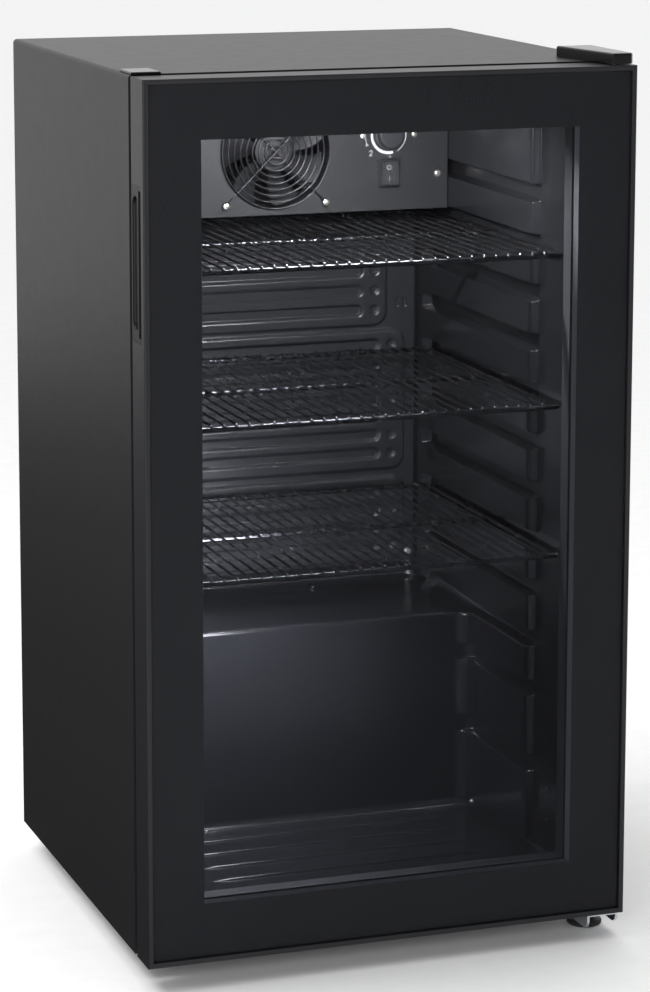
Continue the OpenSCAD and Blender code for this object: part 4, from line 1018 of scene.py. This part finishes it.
def bend_section(reach_left, reach_right):
    """The channel's section: flanges down on both sides of a flat top, with rounded bends."""
    left, right = channel_x
    outside, inside = [(left, reach_left)], [(left + sheet, reach_left)]
    for middle, start in ((left + bend, 180), (right - bend, 90)):
        for k in range(6):
            a = math.radians(start - 18 * k)
            c, s = math.cos(a), math.sin(a)
            outside.append((middle + bend * c, plate_top - bend + bend * s))
            inside.append((middle + (bend - sheet) * c, plate_top - bend + (bend - sheet) * s))
    outside.append((right, reach_right))
    inside.append((right - sheet, reach_right))
    return outside + inside[::-1]


channel = skin([[(x, y, z) for x, z in bend_section(7.2 + low, 10.6 + low)]
                for y, low in ((-218.4, 7.5), (-216.5, 3.2), (-213.5, 0.8), (-209.0, 0.0), (-161.0, 0.0))])
riser_side = [(-162.6, 19.6), (-160.9, 19.6), (-160.0, 20.2), (-160.0, 22.4), (-120.1, 22.4), (-120.1, 24.8),
              (-161.6, 24.8), (-162.6, 24.0)]
riser = skin([[(x, y, z) for y, z in riser_side] for x in (205.2, 236.6)])
fit("hinge_channel", [channel, riser], zinc_plate, "bottom_hinge_bracket", rounding=0.25, crease=40)
hinge_pin = turned([(0, 18.1), (3.5, 18.1), (3.5, 36.8), (2.6, 37.9), (0, 38.0)], bush_at, "z", 28)
washer_side = [(3.6, 21.9), (8.0, 21.9), (7.9, 22.9), (6.6, 24.0), (4.6, 24.6), (3.6, 24.6)]
washer = turned(washer_side, bush_at, "z", 40)
right_foot_at = (219.0, -179.0, 0.0)
boss = turned([(4.2, 14.6), (6.6, 14.6), (7.0, 15.2), (7.0, 21.0), (4.2, 21.0)], right_foot_at, "z", 32)
fit("hinge_pin_and_washer", [hinge_pin, washer, boss], nickel_plate, "bottom_hinge_bracket",
    stands_for=False)
dress(nickel_plate, "hinge_screws")

# ---- Feet ----
# Black nylon discs with ribbed rims on threaded steel studs in front, so the front can be
# levelled, and two plain moulded stand-offs at the back.


def foot_disc(at):
    """A levelling foot's disc, with a rim ribbed for the fingers."""
    corners, rings = 144, []
    for radius, z, rib in ((0, 0, 0), (15.5, 0, 0), (16.9, 1.2, 0.6), (17.0, 3.6, 0.6), (15.6, 5.0, 0.2),
                           (9.4, 5.4, 0), (8.2, 6.2, 0), (7.9, 9.0, 0), (4.2, 9.4, 0)):
        reach = [radius - rib * (i % 4 in (2, 3)) for i in range(corners)]
        rings.append([(at[0] + r * u, at[1] + r * v, z) for r, (u, v) in zip(reach, circle(corners))])
    return skin(rings)


def stud(at, low, high):
    """A threaded stud, its thread drawn as rings of the same pitch."""
    pitch, profile = 1.25, [(0, low)]
    for k in range(int((high - low - 1) / pitch)):
        z = low + pitch * k
        profile += [(3.5, z + 0.1), (3.98, z + 0.55), (3.98, z + 0.7)]
    return turned(profile + [(3.4, high - 0.4), (0, high)], (at[0], at[1], 0), "z", 20)


left_foot_at = (-195.0, -142.0, 0.0)
for node, at, high in (("front_foot_left", left_foot_at, 43.0), ("front_foot_right", right_foot_at, 24.5)):
    fit(node + "_disc", [foot_disc(at)], moulded_nylon, node, crease=35)
    fit(node + "_stud", [stud(at, 8.0, high)], zinc_plate, node, stands_for=False, crease=35)
standoffs = [turned([(0, 0), (14, 0), (15.4, 1.4), (15.5, 6.0), (13.4, 23.6), (12.6, 24.9), (0, 24.9)],
                    (x, 194.5, 0), "z", 40) for x in (-191, 191)]
fit("rear_standoffs", standoffs, moulded_nylon, "rear_feet", crease=35)

# ---- Compressor ----
# A hermetic can pressed from two steel cups and welded round the middle, enamelled black, on a
# foot plate that stands on rubber. A plastic box covers its terminals.

can_at = (-75.84, 160.0, 0.0)
# Glossy enamel: black and slightly wavy, with bright highlights on the dome.
can_enamel = coat("glossy_black_enamel", "#141415", 0.3, 2.4, 0.02, gloss=0.5)
can_profile = [(0, 38), (46, 38), (55, 40), (61, 45), (64, 52), (64.6, 60), (64.6, 100)]
can_profile += [(64.2, 102), (64.9, 103), (64.9, 105), (64.2, 106), (63.6, 108), (63.0, 128)]
dome = [math.radians(a) for a in range(0, 90, 12)]
can_profile += [(23 + 40 * math.cos(a), 130 + 38 * math.sin(a)) for a in dome]
can_profile += [(14, 169.4), (0, 170)]
feet_plate = block((-147.8, -3.9), (115.2, 204.8), (36.1, 38.8))
ear_cuts = [block((-112, -40), (100, 121), (30, 45)), block((-112, -40), (199, 220), (30, 45))]
fit("compressor_can", [turned(can_profile, can_at, "z", 72)], can_enamel, "compressor", crease=40)
fit("compressor_foot_plate", [feet_plate], can_enamel, "compressor", stands_for=False, rounding=0.8,
    cuts=ear_cuts)
terminal_shell = block((-10.4, 23.4), (136.1, 183.9), (72.1, 123.9))
terminal_panel = block((23.2, 23.46), (152, 168), (84, 112))
fit("terminal_cover", [terminal_shell, terminal_panel], moulded_nylon, "terminal_box", rounding=2.2, steps=3)
tray_wall = [(2.4, 170.45), (0.6, 172.0), (0.0, 190.4), (2.0, 190.4), (2.6, 173.4), (4.0, 172.4)]
tray = skin([[(-135.8 + t, 120 + t, z), (80 - t, 120 + t, z),
              (80 - t, 218.5 - t, z), (-135.8 + t, 218.5 - t, z)] for t, z in tray_wall])
fit("drip_tray_moulding", [tray], moulded_nylon, "drip_tray", rounding=0.5)
tube_at = (60.0, 176.5, 0.0)
drain = turned([(4.6, 180), (6, 180), (6, 262.7), (4.6, 262.7)], tube_at, "z", 28)
# Milky PVC: a pale tube, smooth and a little waxy.
clear_tube = coat("milky_pvc_tube", "#c9cbc9", 0.35, 1.2, 0.006, gloss=0.4)
fit("drain_tube_extrusion", [drain], clear_tube, "drain_tube", crease=40,
    cuts=[turned([(4.6, 178), (4.6, 264)], tube_at, "z", 28)])
dress(moulded_nylon, "cord_gland")

# ---- Cooling pipes ----
# Copper tubes from the can up through the bay's roof, bent on a former, with the filter drier
# brazed into the pressure side. They are dull with handling and darker at the joints.


def bent(points, radius, steps=6):
    """A path that turns each corner on a radius."""
    points = [Vector(p) for p in points]
    path = [points[0]]
    for before, at, after in zip(points, points[1:], points[2:]):
        one, two = (before - at).normalized() * radius, (after - at).normalized() * radius
        for k in range(steps + 1):
            t = k / steps
            path.append(at + one * (1 - t) ** 2 + two * t ** 2)
    return path + [points[-1]]


pipes = []
for x, level in ((99.54, 85.0), (125.61, 115.0)):
    route = [(-32.6, 113, level), (-32.6, 93.5, level), (x, 93.5, level), (x, 93.5, 249)]
    pipes.append(wire(bent(route, 12), 3.2, 14))
drier = turned([(3.3, 141), (4.4, 144), (8.4, 149), (9, 152), (9, 184), (8.4, 187), (4.4, 192), (3.3, 195)],
               (125.61, 93.5, 0), "z", 28)
fit("bent_copper_pipes", pipes + [drier], drawn_copper, "cooling_pipes", crease=50)
